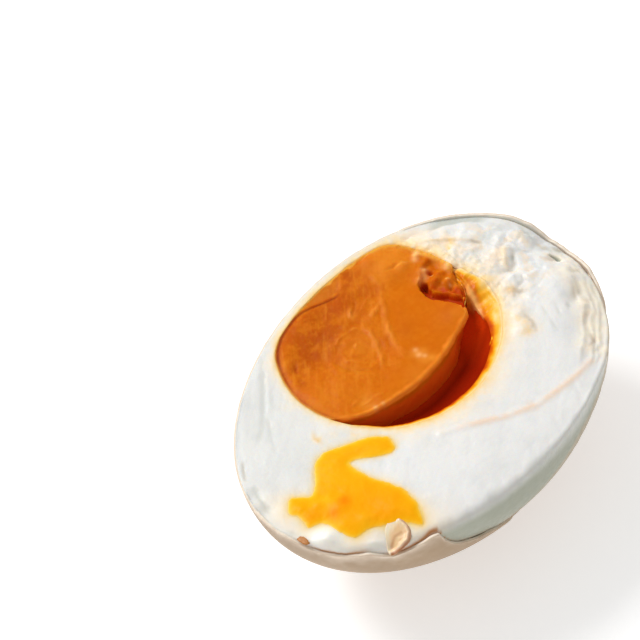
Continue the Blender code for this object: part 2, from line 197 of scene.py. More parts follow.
# Spots of the white's face that yolk has stained: x, y, radius and strength
STAIN_SPOTS = [
    (14.6, -7.9, 1.5, 0.48), (15.6, -5.4, 1.3, 0.16), (18.9, -1.6, 0.9, 0.50),
    (17.7, 7.6, 0.9, 0.30), (20.7, 10.2, 0.9, 0.45), (-26.9, -7.2, 0.9, 0.2),
    (18.7, 9.2, 0.7, 0.62), (17.9, 11.3, 0.7, 0.66), (16.8, 12.9, 0.6, 0.6), (18.7, 5.0, 0.7, 0.55),
    (18.3, 2.4, 0.7, 0.45), (19.0, 14.2, 1.3, 0.26), (21.5, 11.2, 1.2, 0.20),
    (23.6, 7.6, 1.0, 0.16), (19.6, 9.0, 1.4, 0.16), (22.0, 2.6, 1.6, 0.15),
    (25.5, -12.0, 2.4, 0.12), (21.0, -14.6, 2.2, 0.12), (-15.9, 5.6, 0.7, 0.30),
    (-14.6, 4.4, 1.2, 0.16), (-12.4, 1.8, 0.8, 0.34), (-24.0, -13.6, 1.1, 0.30),
    (-21.0, -16.4, 1.4, 0.24), (-26.8, -8.6, 1.2, 0.10), (-29.4, -2.6, 0.9, 0.22),
    (23.4, 3.8, 1.2, 0.20), (19.1, -3.4, 1.1, 0.18), (16.2, -4.0, 1.4, 0.20),
    (20.4, 8.4, 1.4, 0.22), (19.4, 11.6, 1.6, 0.24),
]
# Creases, flaps and smears: the line, its width and height, and how grey, cream and brown it is
# Their grey and brown are partly painted shade, in the creases and beside the raised flaps.
FACE_STROKES = [
    ([(18.6, 14.6), (19.6, 13.6), (21.0, 12.0), (22.2, 10.2), (23.2, 8.2)], 0.32, 0.12, 0, 0.5, 0.35),
    ([(23.2, 8.2), (23.8, 6.6)], 0.22, -0.12, 0.5, 0, 0.5),
    ([(25.2, 2.8), (24.4, 1.4), (23.2, 0.5), (22.2, 0.3), (21.4, 0.9)], 0.36, -0.24, 0.35, 0, 0.35),
    ([(24.6, 3.4), (22.9, 2.0), (22.2, 1.2)], 0.45, 0.34, 0, 0.6, 0),
    ([(25.8, 3.8), (24.4, 4.0), (22.8, 3.0)], 0.3, -0.10, 0.2, 0, 0.35),
    ([(24.0, 1.4), (23.4, 0.9)], 0.4, -0.1, 0.9, 0, 0.1),
    ([(29.7, 4.8), (29.0, 3.0), (28.4, 1.4)], 0.30, -0.12, 0.6, 0, 0),
    ([(28.3, 0.2), (28.3, -0.8), (28.9, -1.8)], 0.55, 0, 0.6, 0, 0),
    ([(28.0, 3.8), (27.6, 2.2)], 0.6, 0.2, 0.4, 0, 0),
    ([(29.0, -2.0), (29.6, -3.0)], 0.5, 0, 1.0, 0, 0.4),
    ([(28.6, -7.2), (28.9, -8.2)], 0.4, -0.1, 0.5, 0, 0.6),
    ([(26.4, 8.6), (27.4, 7.2), (27.6, 6.2)], 0.5, 0.1, 0.3, 0, 0),
    ([(18.9, -7.3), (18.0, -9.0)], 0.3, -0.06, 0.3, 0, 0),
    ([(17.6, -9.8), (16.6, -11.6)], 0.3, -0.06, 0.3, 0, 0),
    ([(20.2, -8.7), (18.8, -10.9)], 0.3, -0.06, 0.3, 0, 0),
    ([(24.8, -8.6), (23.8, -9.6), (22.7, -10.4)], 0.45, -0.16, 0.5, 0, 0.4),
    ([(21.3, -10.1), (20.6, -10.8)], 0.35, -0.10, 0.6, 0, 0.1),
    ([(26.4, -7.0), (27.4, -7.6)], 0.4, -0.1, 0.4, 0, 0.2),
    ([(19.2, -2.5), (19.8, -3.8)], 0.3, -0.1, 0.2, 0, 0.5),
    ([(16.2, -6.6), (15.9, -8.0), (14.9, -9.4)], 0.35, -0.1, 0.2, 0, 0.45),
    ([(18.8, -15.8), (18.1, -16.7), (16.9, -16.9)], 0.28, -0.12, 0.2, 0, 0.9),
    ([(17.2, -17.0), (16.0, -17.3)], 0.6, 0.2, 0, 0.5, 0),
    ([(-9.0, 21.1), (-9.8, 20.5), (-12.4, 18.2), (-15.1, 16.1), (-18.6, 13.5), (-20.4, 12.8)],
     0.42, -0.05, 0.32, 0, 0),
    ([(-11.3, 18.3), (-13.5, 16.4), (-15.4, 14.8)], 0.35, 0.05, 0, 0, 0),
    ([(-16.7, 13.9), (-18.8, 11.7), (-20.5, 9.7)], 0.30, -0.05, 0.2, 0, 0),
    ([(-27.1, 8.0), (-28.0, 6.2), (-28.9, 4.0)], 0.42, -0.12, 0.5, 0, 0),
    ([(-24.5, 12.2), (-25.6, 11.2), (-26.6, 10.1)], 0.25, -0.08, 0.5, 0, 0.4),
    ([(-15.2, 7.2), (-16.0, 6.3), (-16.2, 4.8)], 0.34, 0.05, 0, 0.8, 0.25),
    ([(-25.6, -11.4), (-24.6, -12.2)], 0.6, -0.1, 0.4, 0.2, 0),
    ([(-30.0, -1.4), (-30.2, -0.4)], 0.4, -0.1, 0.5, 0, 0),
]
# Long crease of the face that yolk has stained
STAINED_CREASE = [
    (-6.3, -8.3), (-2.6, -11.5), (0.7, -14.3), (4.3, -16.7), (7.9, -17.7), (11.5, -18.5),
    (14.8, -18.6),
]
# Short dark tear beside the shell's notch
NOTCH_TEAR = [(27.5, -2.7), (27.7, -3.3), (27.7, -3.9)]
# Radius of the rounded lip where the face meets the yolk's hollow, by the angle round the yolk
LIP_RADIUS = [
    (0, 0.6), (30, 0.5), (60, 0.3), (110, 0.16), (200, 0.16), (235, 0.4), (300, 0.6), (340, 0.7),
]
# How far the white's edge stands over the hollow's ball, by the angle round the yolk
RIM_TRIM = [
    (0, 2.1), (5, 1.8), (10, 1.4), (15, 1.1), (21, 0.8), (30, 0.35), (40, 0.0), (110, 0.0),
    (143, 0.35), (164, 0.25), (187, 0.4), (208, 0.4), (222, 0.1), (250, 0.05), (263, 0.1),
    (275, 0.2), (290, 0.4), (300, 0.3), (318, 0.2), (330, 0.3), (336, 0.45), (341, 0.7),
    (346, 1.0), (352, 1.4), (356, 2.0),
]
# How uneven that edge is, by the angle round the yolk
UNEVEN_EDGE = [(0, 0.30), (40, 0.25), (70, 0.06), (200, 0.06), (290, 0.08), (330, 0.25)]
# Outline of the yolk spilt on the white, which has stained it all round
SPILL_OUTLINE = [
    (-10.9, -3.9), (-10.5, -2.3), (-11.8, -0.3), (-14.1, 1.5), (-16.4, 3.1), (-18.4, 3.7),
    (-20.3, 3.0), (-22.2, 1.4), (-23.7, 0.7), (-24.8, 1.8), (-25.6, 2.8), (-26.7, 2.4),
    (-27.8, 1.3), (-27.6, 0.0), (-28.0, -1.4), (-28.1, -2.4), (-26.5, -3.8), (-26.5, -6.4),
    (-26.0, -8.5), (-24.6, -9.2), (-23.5, -9.6), (-22.4, -10.9), (-20.9, -12.4), (-20.2, -13.6),
    (-19.5, -15.2), (-18.1, -14.0), (-17.0, -12.1), (-16.4, -9.6), (-16.6, -7.4), (-17.1, -4.7),
    (-17.1, -2.3), (-16.8, -0.7), (-15.9, -1.0), (-14.4, -2.6), (-12.8, -4.2), (-11.6, -4.5),
]
EGG_SPOKES = 480
HOLLOW_RINGS, LIP_RINGS, FACE_RINGS, RIM_RINGS, SIDE_RINGS = 16, 8, 96, 12, 44
FOOT = FOOT_SAG - WIDTH / 2     # height of the flat that the egg has settled on
SEAM_MERGE = 2e-7               # metres


def by_angle(table, degrees, soften=5.0):
    """Values at angles, read from (angle, value) pairs that go once round, and softened."""
    turns, values = zip(*table)
    shifts = np.linspace(-soften, soften, 9)
    weights = np.cos(shifts / soften * math.pi / 2.2)
    total = sum(w * np.interp(degrees + s, turns, values, period=360)
                for s, w in zip(shifts, weights))
    return total / weights.sum()


def noise(points, size, seed=0):
    """Smooth random values between -1 and 1 that change over about `size` millimetres."""
    cell = np.asarray(points) / size + 17.3 * (seed + 1)
    low = np.floor(cell).astype(np.int64)
    part = cell - low
    part = part * part * (3 - 2 * part)
    total = 0.0
    for corner in itertools.product((0, 1), repeat=3):
        at = low + np.array(corner)
        mixed = at[..., 0] * 73856093 ^ at[..., 1] * 19349663 ^ at[..., 2] * 83492791
        mixed = (mixed * 2654435761) & 0xFFFFFFFF
        mixed = ((mixed ^ (mixed >> 15)) * 2246822519) & 0xFFFFFFFF
        value = ((mixed ^ (mixed >> 13)) & 0xFFFFFF) / 0x7FFFFF - 1.0
        weight = np.where(np.array(corner) == 1, part, 1 - part).prod(-1)
        total = total + weight * value
    return total


def rough(points, size, seed=0, steps=3):
    """Noise with finer noise on it."""
    return sum(noise(points, size / 2 ** k, seed + k) / 2 ** k for k in range(steps))


def flakes(points, size, seed=0):
    """Flat flakes of random height with creases between them, from -1 to 1."""
    cell = np.asarray(points)[..., :2] / size
    low = np.floor(cell).astype(np.int64)
    nearest = np.full(cell.shape[:-1], 9.0)
    second = nearest.copy()
    height = np.zeros_like(nearest)
    for dx, dy in itertools.product((-1, 0, 1), repeat=2):
        at = low + np.array((dx, dy))
        seeded = np.concatenate([at, np.full(at.shape[:-1] + (1,), seed)], -1)
        spot = at + 0.5 + 0.45 * np.stack([noise(seeded, 0.61, 1), noise(seeded, 0.61, 2)], -1)
        away = np.hypot(*(np.moveaxis(spot - cell, -1, 0)))
        closer = away < nearest
        second = np.where(closer, nearest, np.minimum(second, away))
        height = np.where(closer, noise(seeded, 0.61, 3), height)
        nearest = np.where(closer, away, nearest)
    crease = np.clip((second - nearest) / 0.25, 0, 1)
    return height * crease - 0.5 * (1 - crease)


def flat_points(x, y):
    """Points of the cut face, as the noise reads them."""
    return np.stack([x, y, np.zeros_like(x)], -1)


def streaky(x, y, angle, size, stretch, seed):
    """Noise drawn out along a direction of the cut face."""
    along = (x * math.cos(angle) + y * math.sin(angle)) / stretch
    return noise(flat_points(along, y * math.cos(angle) - x * math.sin(angle)), size, seed)


def step(low, high, value):
    """Rises smoothly from 0 at `low` to 1 at `high`."""
    part = np.clip((value - low) / (high - low), 0, 1)
    return part * part * (3 - 2 * part)


def band(value, start, full, fade, end):
    """1 from `full` to `fade`, and down smoothly to 0 at `start` and `end`."""
    return step(start, full, value) * step(end, fade, value)


def soft(away, width):
    """1 on a line or spot, and down smoothly to 0 beyond about `width`."""
    return np.exp(-(away / width) ** 2)


def unit(values):
    """Values cut off below 0 and above 1."""
    return np.clip(values, 0, 1)


def lerp(a, b, part):
    """From a at 0 to b at 1."""
    return a + (b - a) * part


def bumps(table, x, y):
    """Height of round lumps and hollows at points of a cut face."""
    return sum(rise * np.exp(-((x - at_x) ** 2 + (y - at_y) ** 2) / radius ** 2)
               for at_x, at_y, radius, rise in table)


def from_line(route, x, y):
    """Distance of points from a line of straight runs, and how far along it they are, 0 to 1."""
    best = np.full(np.shape(x), 1e9)
    along = np.zeros(np.shape(x))
    for i, (a, b) in enumerate(zip(route, route[1:])):
        run = np.subtract(b, a)
        part = np.clip(((x - a[0]) * run[0] + (y - a[1]) * run[1]) / run.dot(run), 0, 1)
        away = np.hypot(x - a[0] - run[0] * part, y - a[1] - run[1] * part)
        along = np.where(away < best, (i + part) / (len(route) - 1), along)
        best = np.minimum(best, away)
    return best, along


def drawn_line(route, width, x, y):
    """How strongly a line shows at points: it fades at its sides and towards its ends."""
    away, along = from_line(route, x, y)
    return soft(away, width) * np.sin(math.pi * (0.1 + 0.8 * along))


def half_width(along, inset):
    """Half the egg's width, `inset` within it, for -1 to 1 along it."""
    return WIDTH / 2 * (1 + BLUNTNESS * along) - inset


def egg_point(around, down, inset):
    """Points of the egg's surface, `inset` within it."""
    along = np.cos(around) * np.cos(down)
    wide = half_width(along, inset)
    return np.stack([(LENGTH / 2 - inset) * along, wide * np.sin(around) * np.cos(down),
                     np.maximum(-wide * np.sin(down), FOOT + inset)], -1)


def down_at(around, depth, inset):
    """The angle below the cut at which that surface is `depth` deep."""
    down = np.zeros(np.shape(around))
    for _ in range(8):
        wide = half_width(np.cos(around) * np.cos(down), inset)
        down = np.arcsin(np.clip(depth / wide, -1, 1))
    return down


def reach(angle, depth, inset):
    """How far from the yolk's axis the egg's surface, `inset` within, lies at a depth."""
    low = np.zeros(np.broadcast(angle, depth).shape)
    high = np.full(low.shape, LENGTH)
    for _ in range(30):
        middle = (low + high) / 2
        along = (YOLK_X + middle * np.cos(angle)) / (LENGTH / 2 - inset)
        y = YOLK_Y + middle * np.sin(angle)
        inside = along * along + (y * y + depth * depth) / half_width(along, inset) ** 2 < 1
        low, high = np.where(inside, middle, low), np.where(inside, high, middle)
    return low


def yolk_wall(angle, depth, inset):
    """Radius of the yolk's ball, `inset` within it, where the egg's wall leaves it room."""
    sunk = unit(depth / (YOLK_DEPTH - inset))
    ball = (YOLK_RADIUS - inset) * np.sqrt(1 - sunk * sunk)
    wall = reach(angle, depth, SHELL_WALL + WHITE_WALL + inset)
    blend = np.maximum(1.2 - abs(ball - wall), 0) / 1.2
    uneven = rough(flat_points(9 * np.cos(angle), 9 * np.sin(angle)), 2.2, 15)
    edge = by_angle(UNEVEN_EDGE, np.degrees(angle)) * uneven
    edge = edge - by_angle(RIM_TRIM, np.degrees(angle), 3.0)
    return np.minimum(ball, wall) - blend * blend * 0.3 + edge * unit(1 - depth / 3)


def lining(angle, inset, turns):
    """Rings of that ball, at turns below the cut."""
    return np.stack([about_yolk(angle, yolk_wall(angle, deep + 0 * angle, inset), -deep)
                     for deep in YOLK_DEPTH * np.sin(turns)])


def about_axis(x, y):
    """Angle of points round the yolk's axis, and how far from it they are."""
    return np.arctan2(y - YOLK_Y, x - YOLK_X), np.hypot(x - YOLK_X, y - YOLK_Y)


def about_yolk(angle, radius, z):
    """Points at an angle, a radius and a height about that axis."""
    angle, radius, z = np.broadcast_arrays(angle, radius, z)
    return np.stack([YOLK_X + radius * np.cos(angle), YOLK_Y + radius * np.sin(angle), z], -1)


def inward(x, y):
    """Distance of points of the cut face from the egg's edge."""
    full = np.hypot(2 * x / LENGTH, 2 * y / WIDTH)
    return (1 / np.maximum(full, 0.1) - 1) * np.hypot(x, y)


def egg_degrees(x, y):
    """Angle round the egg of points of the cut face."""
    return np.degrees(np.arctan2(y / WIDTH, x / LENGTH)) % 360


def strokes(x, y):
    """Height of the face's strokes, and how grey, cream and brown they are."""
    ragged = 0.3 * rough(flat_points(x, y), 1.2, 120)
    total = np.zeros((4, *np.shape(x)))
    for route, width, *amounts in FACE_STROKES:
        away, along = from_line(route, x, y)
        shown = soft(np.maximum(away / width + ragged, 0), 1)
        total += np.multiply.outer(amounts, shown * np.sin(math.pi * (0.15 + 0.7 * along)))
    return total


def torn(x, y):
    """1 where the knife tore the white at the blunt end, 0 where it cut clean."""
    zone = step(12.5, 16.5, x + 0.25 * y) * step(-10.0, -1.0, y - 0.1 * (x - 20))
    return zone * (1 - 0.5 * step(0.8, 2.4, (x - 19.5) * 0.83 + (y - 14.5) * 0.56))


def terraces(x, y):
    """Where the white's rim has torn off in layers, the drop of the ledges, and their ridges."""
    zone = band(egg_degrees(x, y), 297, 306, 350, 359)
    points = flat_points(x, y)
    edge = inward(x, y) - SHELL_WALL
    edge = edge + 0.50 * rough(points, 2.6, 10) + 0.22 * rough(points, 0.9, 11)
    drop = sum(fall * step(*where, edge)
               for fall, *where in [(0.36, 3.1, 1.9), (0.22, 1.5, 1.0), (0.22, 0.7, 0.3)])
    ridges = soft(edge - 2.9, 0.34) + 0.6 * (soft(edge - 1.6, 0.22) + soft(edge - 0.85, 0.2))
    return zone, zone * drop, zone * ridges * (0.5 + 0.5 * noise(points, 2.8, 14))


def face_height(x, y):
    """Height of the white's cut face."""
    degrees, points = egg_degrees(x, y), flat_points(x, y)
    edge = inward(x, y) - SHELL_WALL - SKIN_WALL
    zone, drop, ridges = terraces(x, y)
    fall = by_angle(WHITE_EDGE, degrees) - TERRACE_DROP * zone
    fall = fall * (1 - unit(edge / EDGE_FADE)) ** 1.6
    waves = (0.05 * streaky(x, y, CUT_ANGLE, 2.4, 3.5, 3)
             + 0.02 * streaky(x, y, CUT_ANGLE, 0.9, 4.0, 4)
             + 0.08 * noise(points, 4.0, 2) + 0.015 * rough(points, 0.7, 8))
    lumpy = torn(x, y) * (
        0.26 * rough(points, 2.8, 5) + 0.10 * rough(points, 1.0, 12) + 0.14 * flakes(points, 2.4, 6)
        + 0.07 * flakes(points, 1.1, 7) + 0.05 * streaky(x, y, -0.9, 0.6, 4.0, 9))
    crease = 0.12 * soft(from_line(STAINED_CREASE, x, y)[0], 0.5)
    wrinkles = step(4.5, 1.5, edge) * band(degrees, 232, 245, 290, 302)
    wrinkles = 0.07 * wrinkles * streaky(x, y, 1.1, 0.7, 2.5, 13)
    fine = waves + lumpy + crease + wrinkles + strokes(x, y)[0]
    return (bumps(FACE_RELIEF, x, y) - fall - drop + 0.12 * ridges + unit(edge / 1.2) * fine
            - 0.6 * soft(from_line(NOTCH_TEAR, x, y)[0], 0.26))


def white_inset(around, down):
    """How far the white lies inside the egg's outer surface: less where it is bare."""
    degrees = np.degrees(around) % 360
    under = WIDTH / 2 * np.sin(down) - by_angle(SHELL_EDGE, degrees, 2.0)
    sideways = np.minimum(degrees - SHELL_BREAK[0], SHELL_BREAK[1] - degrees) / 7
    bare = unit(np.minimum(sideways, -under / 4 - 0.3))
    gap = by_angle(SKIN_GAP, degrees, 2.0) * np.exp(-np.maximum(under - 0.5, 0) / 0.6)
    return SHELL_WALL + SKIN_WALL - BARE_SWELL * bare + gap


def smooth_outline(points):
    """A smooth closed curve through points, with five points for each."""
    total = len(points)
    drawn = []
    for i in range(total):
        a, b, c, d = (np.array(points[k % total]) for k in range(i - 1, i + 3))
        for t in np.arange(5) / 5:
            drawn.append(0.5 * (2 * b + (c - a) * t + (2 * a - 5 * b + 4 * c - d) * t * t
                                + (3 * b - a - 3 * c + d) * t ** 3))
    return drawn


def inside_depth(outline, x, y):
    """Distance of points from an outline: positive inside it, negative outside."""
    closed = [*outline, outline[0]]
    away, _ = from_line(closed, x, y)
    crossings = np.zeros(np.shape(x), int)
    for a, b in zip(closed, closed[1:]):
        straddles = (a[1] > y) != (b[1] > y)
        with np.errstate(divide="ignore", invalid="ignore"):
            cross = a[0] + (y - a[1]) * (b[0] - a[0]) / (b[1] - a[1])
        crossings += straddles & (x < cross)
    return np.where(crossings % 2 == 1, away, -away)


def shell_edge(turn):
    """Depth of the shell's edge with its chips."""
    edge = by_angle(SHELL_EDGE, np.degrees(turn), 0.6)
    line = egg_point(turn, 0 * turn, 0)
    chips = 0.10 * rough(line, 1.6, 80) + 0.05 * flakes(line, 0.9, 81)
    return np.maximum(edge + chips + 0.5 * step(3.5, 6.0, edge) * rough(line, 3.0, 82), -0.05)


def ball_rows(rings, top, bottom):
    """Rows of a grid from bottom to top, one for each ring and pole, ending where it starts."""
    shape = (1, *rings.shape[1:])
    rows = np.concatenate([np.full(shape, top), rings, np.full(shape, bottom)])[::-1]
    return np.concatenate([rows, rows[:, :1]], 1)


def ball_of_rings(name, rings, top, bottom):
    """A grid primitive rolled up into a ball: a row for each ring, the first next to `top`."""
    count, spokes = rings.shape[:2]
    bpy.ops.mesh.primitive_grid_add(x_subdivisions=spokes, y_subdivisions=count + 1, size=2)
    piece = bpy.context.object
    piece.name = piece.data.name = name
    place_points(piece, ball_rows(rings, top, bottom).reshape(-1, 3))
    return piece


def place_points(piece, points):
    """Puts points given in millimetres from the middle of the cut face into the frame."""
    placed = np.asarray(points) * MM + np.array(FACE_MIDDLE)
    piece.data.vertices.foreach_set("co", placed.ravel())
    piece.data.update()


def keep_values(piece, **values):
    """Keeps named values for each point of a piece, which its material reads."""
    for name, kept in values.items():
        layer = piece.data.attributes.new(name, "FLOAT", "POINT")
        layer.data.foreach_set("value", np.asarray(kept, float).ravel())


def tint(piece, poles=(0.0, 0.0), **values):
    """Keeps named values for each point of a ball of rings and for its two poles."""
    for name, rings in values.items():
        keep_values(piece, **{name: ball_rows(rings, *poles)})


def finish_piece(piece, material):
    """Merged seams and poles, smooth shading, its material and its place in the object."""
    bpy.ops.object.mode_set(mode="EDIT")
    bpy.ops.mesh.select_all(action="SELECT")
    bpy.ops.mesh.remove_doubles(threshold=SEAM_MERGE)
    bpy.ops.object.mode_set(mode="OBJECT")
    piece.data.materials.clear()
    piece.data.materials.append(material)
    piece.data.shade_smooth()
    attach(piece, "root")
    bpy.ops.object.select_all(action="DESELECT")


def srgb(red, green, blue):
    """A colour as seen on a screen, 0 to 255, as the shader needs it."""
    def linear(value):
        value /= 255
        return value / 12.92 if value < 0.04045 else ((value + 0.055) / 1.055) ** 2.4
    return tuple(linear(value) for value in (red, green, blue))


class Wire:
    """A socket's output that sums can be written with: each sum adds its Math nodes."""

    def __init__(self, finish, socket):
        self.finish, self.socket = finish, socket

    def maths(self, operation, *others):
        """A sum of this wire and another one or a number."""
        inputs = dict(enumerate([self, *others]))
        return self.finish.node("ShaderNodeMath", {"operation": operation}, inputs)

    def __add__(self, other):
        return self.maths("ADD", other)

    def __sub__(self, other):
        return self.maths("SUBTRACT", other)

    def __rsub__(self, other):
        return self.finish.node("ShaderNodeMath", {"operation": "SUBTRACT"}, {0: other, 1: self})

    def __mul__(self, other):
        return self.maths("MULTIPLY", other)

    __rmul__ = __mul__


class Finish:
    """A material whose nodes are added one by one. Its colours are given as on a screen."""

    def __init__(self, name):
        self.material = bpy.data.materials.new(name)
        self.material.use_nodes = True
        self.tree = self.material.node_tree
        self.shader = self.tree.nodes["Principled BSDF"]
        # Place on the piece in millimetres from the middle of the cut face
        from_middle = self.node("ShaderNodeVectorMath", {"operation": "SUBTRACT"},
                                {0: self.node("ShaderNodeTexCoord", output=3), 1: FACE_MIDDLE})
        self.place = self.node("ShaderNodeVectorMath", {"operation": "SCALE"},
                               {0: from_middle, "Scale": 1 / MM})

    def node(self, kind, settings=None, inputs=None, output=0):
        """Adds a node, sets it and links its inputs, and returns one of its outputs."""
        made = self.tree.nodes.new(kind)
        for key, value in (settings or {}).items():
            if key == "stops":
                ramp = made.color_ramp
                while len(ramp.elements) < len(value):
                    ramp.elements.new(0.5)
                for element, (position, colour) in zip(ramp.elements, value):
                    element.position = position
                    element.color = (*colour, 1)
            else:
                setattr(made, key, value)
        for key, value in (inputs or {}).items():
            self.feed(made.inputs[key], value)
        return Wire(self, made.outputs[output])

    def feed(self, socket, value):
        """Links a wire to a socket, or sets the socket to a value."""
        if isinstance(value, Wire):
            self.tree.links.new(value.socket, socket)
        elif socket.type == "RGBA" and len(value) == 3:
            socket.default_value = (*value, 1)
        else:
            socket.default_value = value

    def set(self, **values):
        """Sets the shader's own sockets: subsurface_weight stands for Subsurface Weight."""
        for key, value in values.items():
            socket = self.shader.inputs[key.replace("_", " ").title().replace("Ior", "IOR")]
            self.feed(socket, value)

    def glow(self, weight, depth, radius):
        """How much light goes into the surface, how deep in millimetres, and its colours."""
        self.set(subsurface_weight=weight, subsurface_scale=depth * MM, subsurface_radius=radius)

    def value(self, name):
        """A value that the mesh keeps for its points."""
        return self.node("ShaderNodeAttribute", {"attribute_name": name}, output=2)

    def grain(self, size, detail=3.0, place=None):
        """Noise whose features are about `size` millimetres across."""
        return self.node("ShaderNodeTexNoise", None,
                         {"Vector": place or self.place, "Scale": 1 / size, "Detail": detail})

    def stretched(self, angle, scale):
        """The place turned by an angle about Z, then scaled, for streaks."""
        turned = self.node("ShaderNodeMapping", {"vector_type": "TEXTURE"},
                           {"Vector": self.place, "Rotation": (0, 0, angle)})
        return self.node("ShaderNodeVectorMath", {"operation": "MULTIPLY"},
                         {0: turned, 1: scale})

    def mix(self, factor, first, second):
        """A colour between two colours."""
        first, second = (c if isinstance(c, Wire) else srgb(*c) for c in (first, second))
        return self.node("ShaderNodeMix", {"data_type": "RGBA"},
                         {0: factor, 6: first, 7: second}, 2)

    def coats(self, colour, *coats):
        """Colours laid over a colour: each coat is how much of it shows, and its colour."""
        for amount, coat in coats:
            colour = self.mix(amount, colour, coat)
        return colour

    def ramp(self, factor, *stops):
        """Colours along a value: each stop is its position and its colour."""
        stops = [(position, srgb(*colour)) for position, colour in stops]
        return self.node("ShaderNodeValToRGB", {"stops": stops}, {0: factor})

    def between(self, value, low, high, start=0.0, end=1.0):
        """A value carried smoothly from one range to another."""
        return self.node("ShaderNodeMapRange", {"interpolation_type": "SMOOTHSTEP"},
                         {0: value, 1: low, 2: high, 3: start, 4: end})

    def bump(self, height, depth, under=None):
        """Bumps of `depth` millimetres for heights from 0 to 1."""
        inputs = {"Height": height, "Distance": depth * MM, "Strength": 1.0}
        if under is not None:
            inputs["Normal"] = under
        return self.node("ShaderNodeBump", None, inputs)


around = np.arange(EGG_SPOKES) / EGG_SPOKES * math.tau
degrees = np.degrees(around)
edge_line = egg_point(around, 0 * around, 0)
front = band(degrees, 228, 238, 312, 322)
nicks = 0.14 * rough(edge_line, 0.9, 20) + 0.10 * noise(edge_line, 3.0, 22)
edge_depth = (by_angle(WHITE_EDGE, degrees, 3.0) + front * nicks
              + 0.30 * step(328, 340, degrees) * rough(edge_line, 1.6, 23))
rounding = by_angle(WHITE_ROUNDING, degrees) * (1 + 0.35 * front * noise(edge_line, 1.3, 24))
edge_down = down_at(around, edge_depth, white_inset(around, 0 * around))
corner = egg_point(around, edge_down, white_inset(around, edge_down))
yolk_angle, _ = about_axis(corner[:, 0], corner[:, 1])
hollow_edge = yolk_wall(yolk_angle, 0 * around, 0.0)
to_hollow = corner - about_yolk(yolk_angle, hollow_edge, corner[:, 2])
face_width = np.hypot(*to_hollow[:, :2].T)
face_end = corner - to_hollow * np.minimum(rounding / face_width, 0.3)[:, None]
lip = np.minimum(by_angle(LIP_RADIUS, np.degrees(yolk_angle)), 0.35 * face_width)

hollow = lining(yolk_angle, 0.0, np.linspace(math.pi / 2 * 0.94, 0.06, HOLLOW_RINGS))
lip_rings = []
for turn in np.linspace(0.15, math.pi / 2, LIP_RINGS):
    ring = about_yolk(yolk_angle, hollow_edge + lip * (1 - math.cos(turn)), 0.0)
    ring[:, 2] = face_height(ring[:, 0], ring[:, 1]) - lip * (1 - math.sin(turn))
    lip_rings.append(ring)
lip_rings = np.stack(lip_rings)
face_rings = np.stack([lerp(lip_rings[-1], face_end, part)
                       for part in np.linspace(0, 1, FACE_RINGS + 1)[1:]])
face_rings[..., 2] = face_height(face_rings[..., 0], face_rings[..., 1])
side_first = down_at(around, edge_depth + rounding, white_inset(around, edge_down))
foot_down = math.asin(1 - FOOT_SAG / (WIDTH / 2))
side_rings = []
for part in np.linspace(0, 1, SIDE_RINGS) ** 1.5:
    down = lerp(side_first, foot_down, part)
    inset = white_inset(around, down)
    at = egg_point(around, down, inset)
    furrows = 0.10 * noise(at, 6.0, 30) + 0.05 * noise(at * (1, 1, 0.22), 1.1, 31)
    inset = inset - front * step(11, 7, -at[:, 2]) * furrows
    side_rings.append(egg_point(around, down, inset))
side_rings = np.stack(side_rings)
side_rings[-1, :, 2] = FOOT + inset
rim_rings = np.stack([
    lerp(lerp(face_rings[-1], corner, part), lerp(corner, side_rings[0], part), part)
    for part in np.linspace(0, 1, RIM_RINGS + 2)[1:-1]])
white_rings = np.concatenate([hollow, lip_rings, face_rings, rim_rings, side_rings])
egg_white = ball_of_rings("set_white", white_rings, (YOLK_X, YOLK_Y, -YOLK_DEPTH),
                          (0, 0, FOOT + SHELL_WALL + SKIN_WALL))

white_x, white_y, white_z = np.moveaxis(white_rings, -1, 0)
row = np.arange(len(white_rings))[:, None] + 0 * white_x
face_last = HOLLOW_RINGS + LIP_RINGS + FACE_RINGS
side = step(face_last - 1, face_last + 12, row)
on_face, face_half = 1 - side, side < 0.5
past_edge = about_axis(white_x, white_y)[1] - hollow_edge
stain_width = by_angle(STAIN_WIDTH, np.degrees(yolk_angle), 12.0)
wavering = 1 + 0.35 * rough(white_rings, 2.2, 40) + 0.25 * rough(white_rings, 0.7, 41)
stain = np.exp(-np.clip(past_edge, 0, 99) / (stain_width * 0.62 * np.maximum(wavering, 0.3)))
stain = stain * by_angle(STAIN_STRENGTH, np.degrees(yolk_angle), 10.0)
spots = bumps(STAIN_SPOTS, white_x, white_y) * (1 + 0.8 * rough(white_rings, 1.0, 42))
spill_line = smooth_outline(SPILL_OUTLINE)
from_spill = np.maximum(-inside_depth(spill_line, white_x, white_y), 0)
_, grey_marks, cream_marks, brown_marks = strokes(white_x, white_y)
seeped = 0.36 * step(-20, -26, white_x + 0.5 * white_y) * np.exp(-from_spill / 2.4)
stain = np.maximum(stain, unit(spots + 0.4 * cream_marks) * on_face)
stain = np.maximum(stain, seeped * (white_z > -3))
to_rim = inward(white_x, white_y)
wedge = band(degrees, 20, 25, 37, 43) * step(1.7, 1.2, to_rim + 0.3 * rough(white_rings, 2.0, 44))
# Painted shadow: a brown line on the white's side at the level of the shell's edge
seam = by_angle(SEAM_SHADOW, degrees, 2.0) * soft(
    white_z + shell_edge(around) - 0.12, 0.32) * step(0.05, 0.4, side)
old_layer = band((degrees + 180) % 360 - 180, -62, -52, -12, -4) * step(
    5.4, 3.0, to_rim - SHELL_WALL + 0.9 * rough(white_rings, 3.0, 46)) * (white_z > -3.5)
brown = 0.30 * rough(white_rings * (1, 1, 0.5), 1.3, 43) - 0.1 * terraces(white_x, white_y)[2]
# The brown marks are partly painted shade along creases and flaps.
brown = old_layer * unit(brown) + unit(brown_marks)
notch_shade = 1.6 * soft(from_line(NOTCH_TEAR, white_x, white_y)[0], 0.3)
# Painted shade: the left part of the face is tinted greyer
left_shade = 0.22 * step(-6, -14, white_x) * step(-4, 4, white_y)
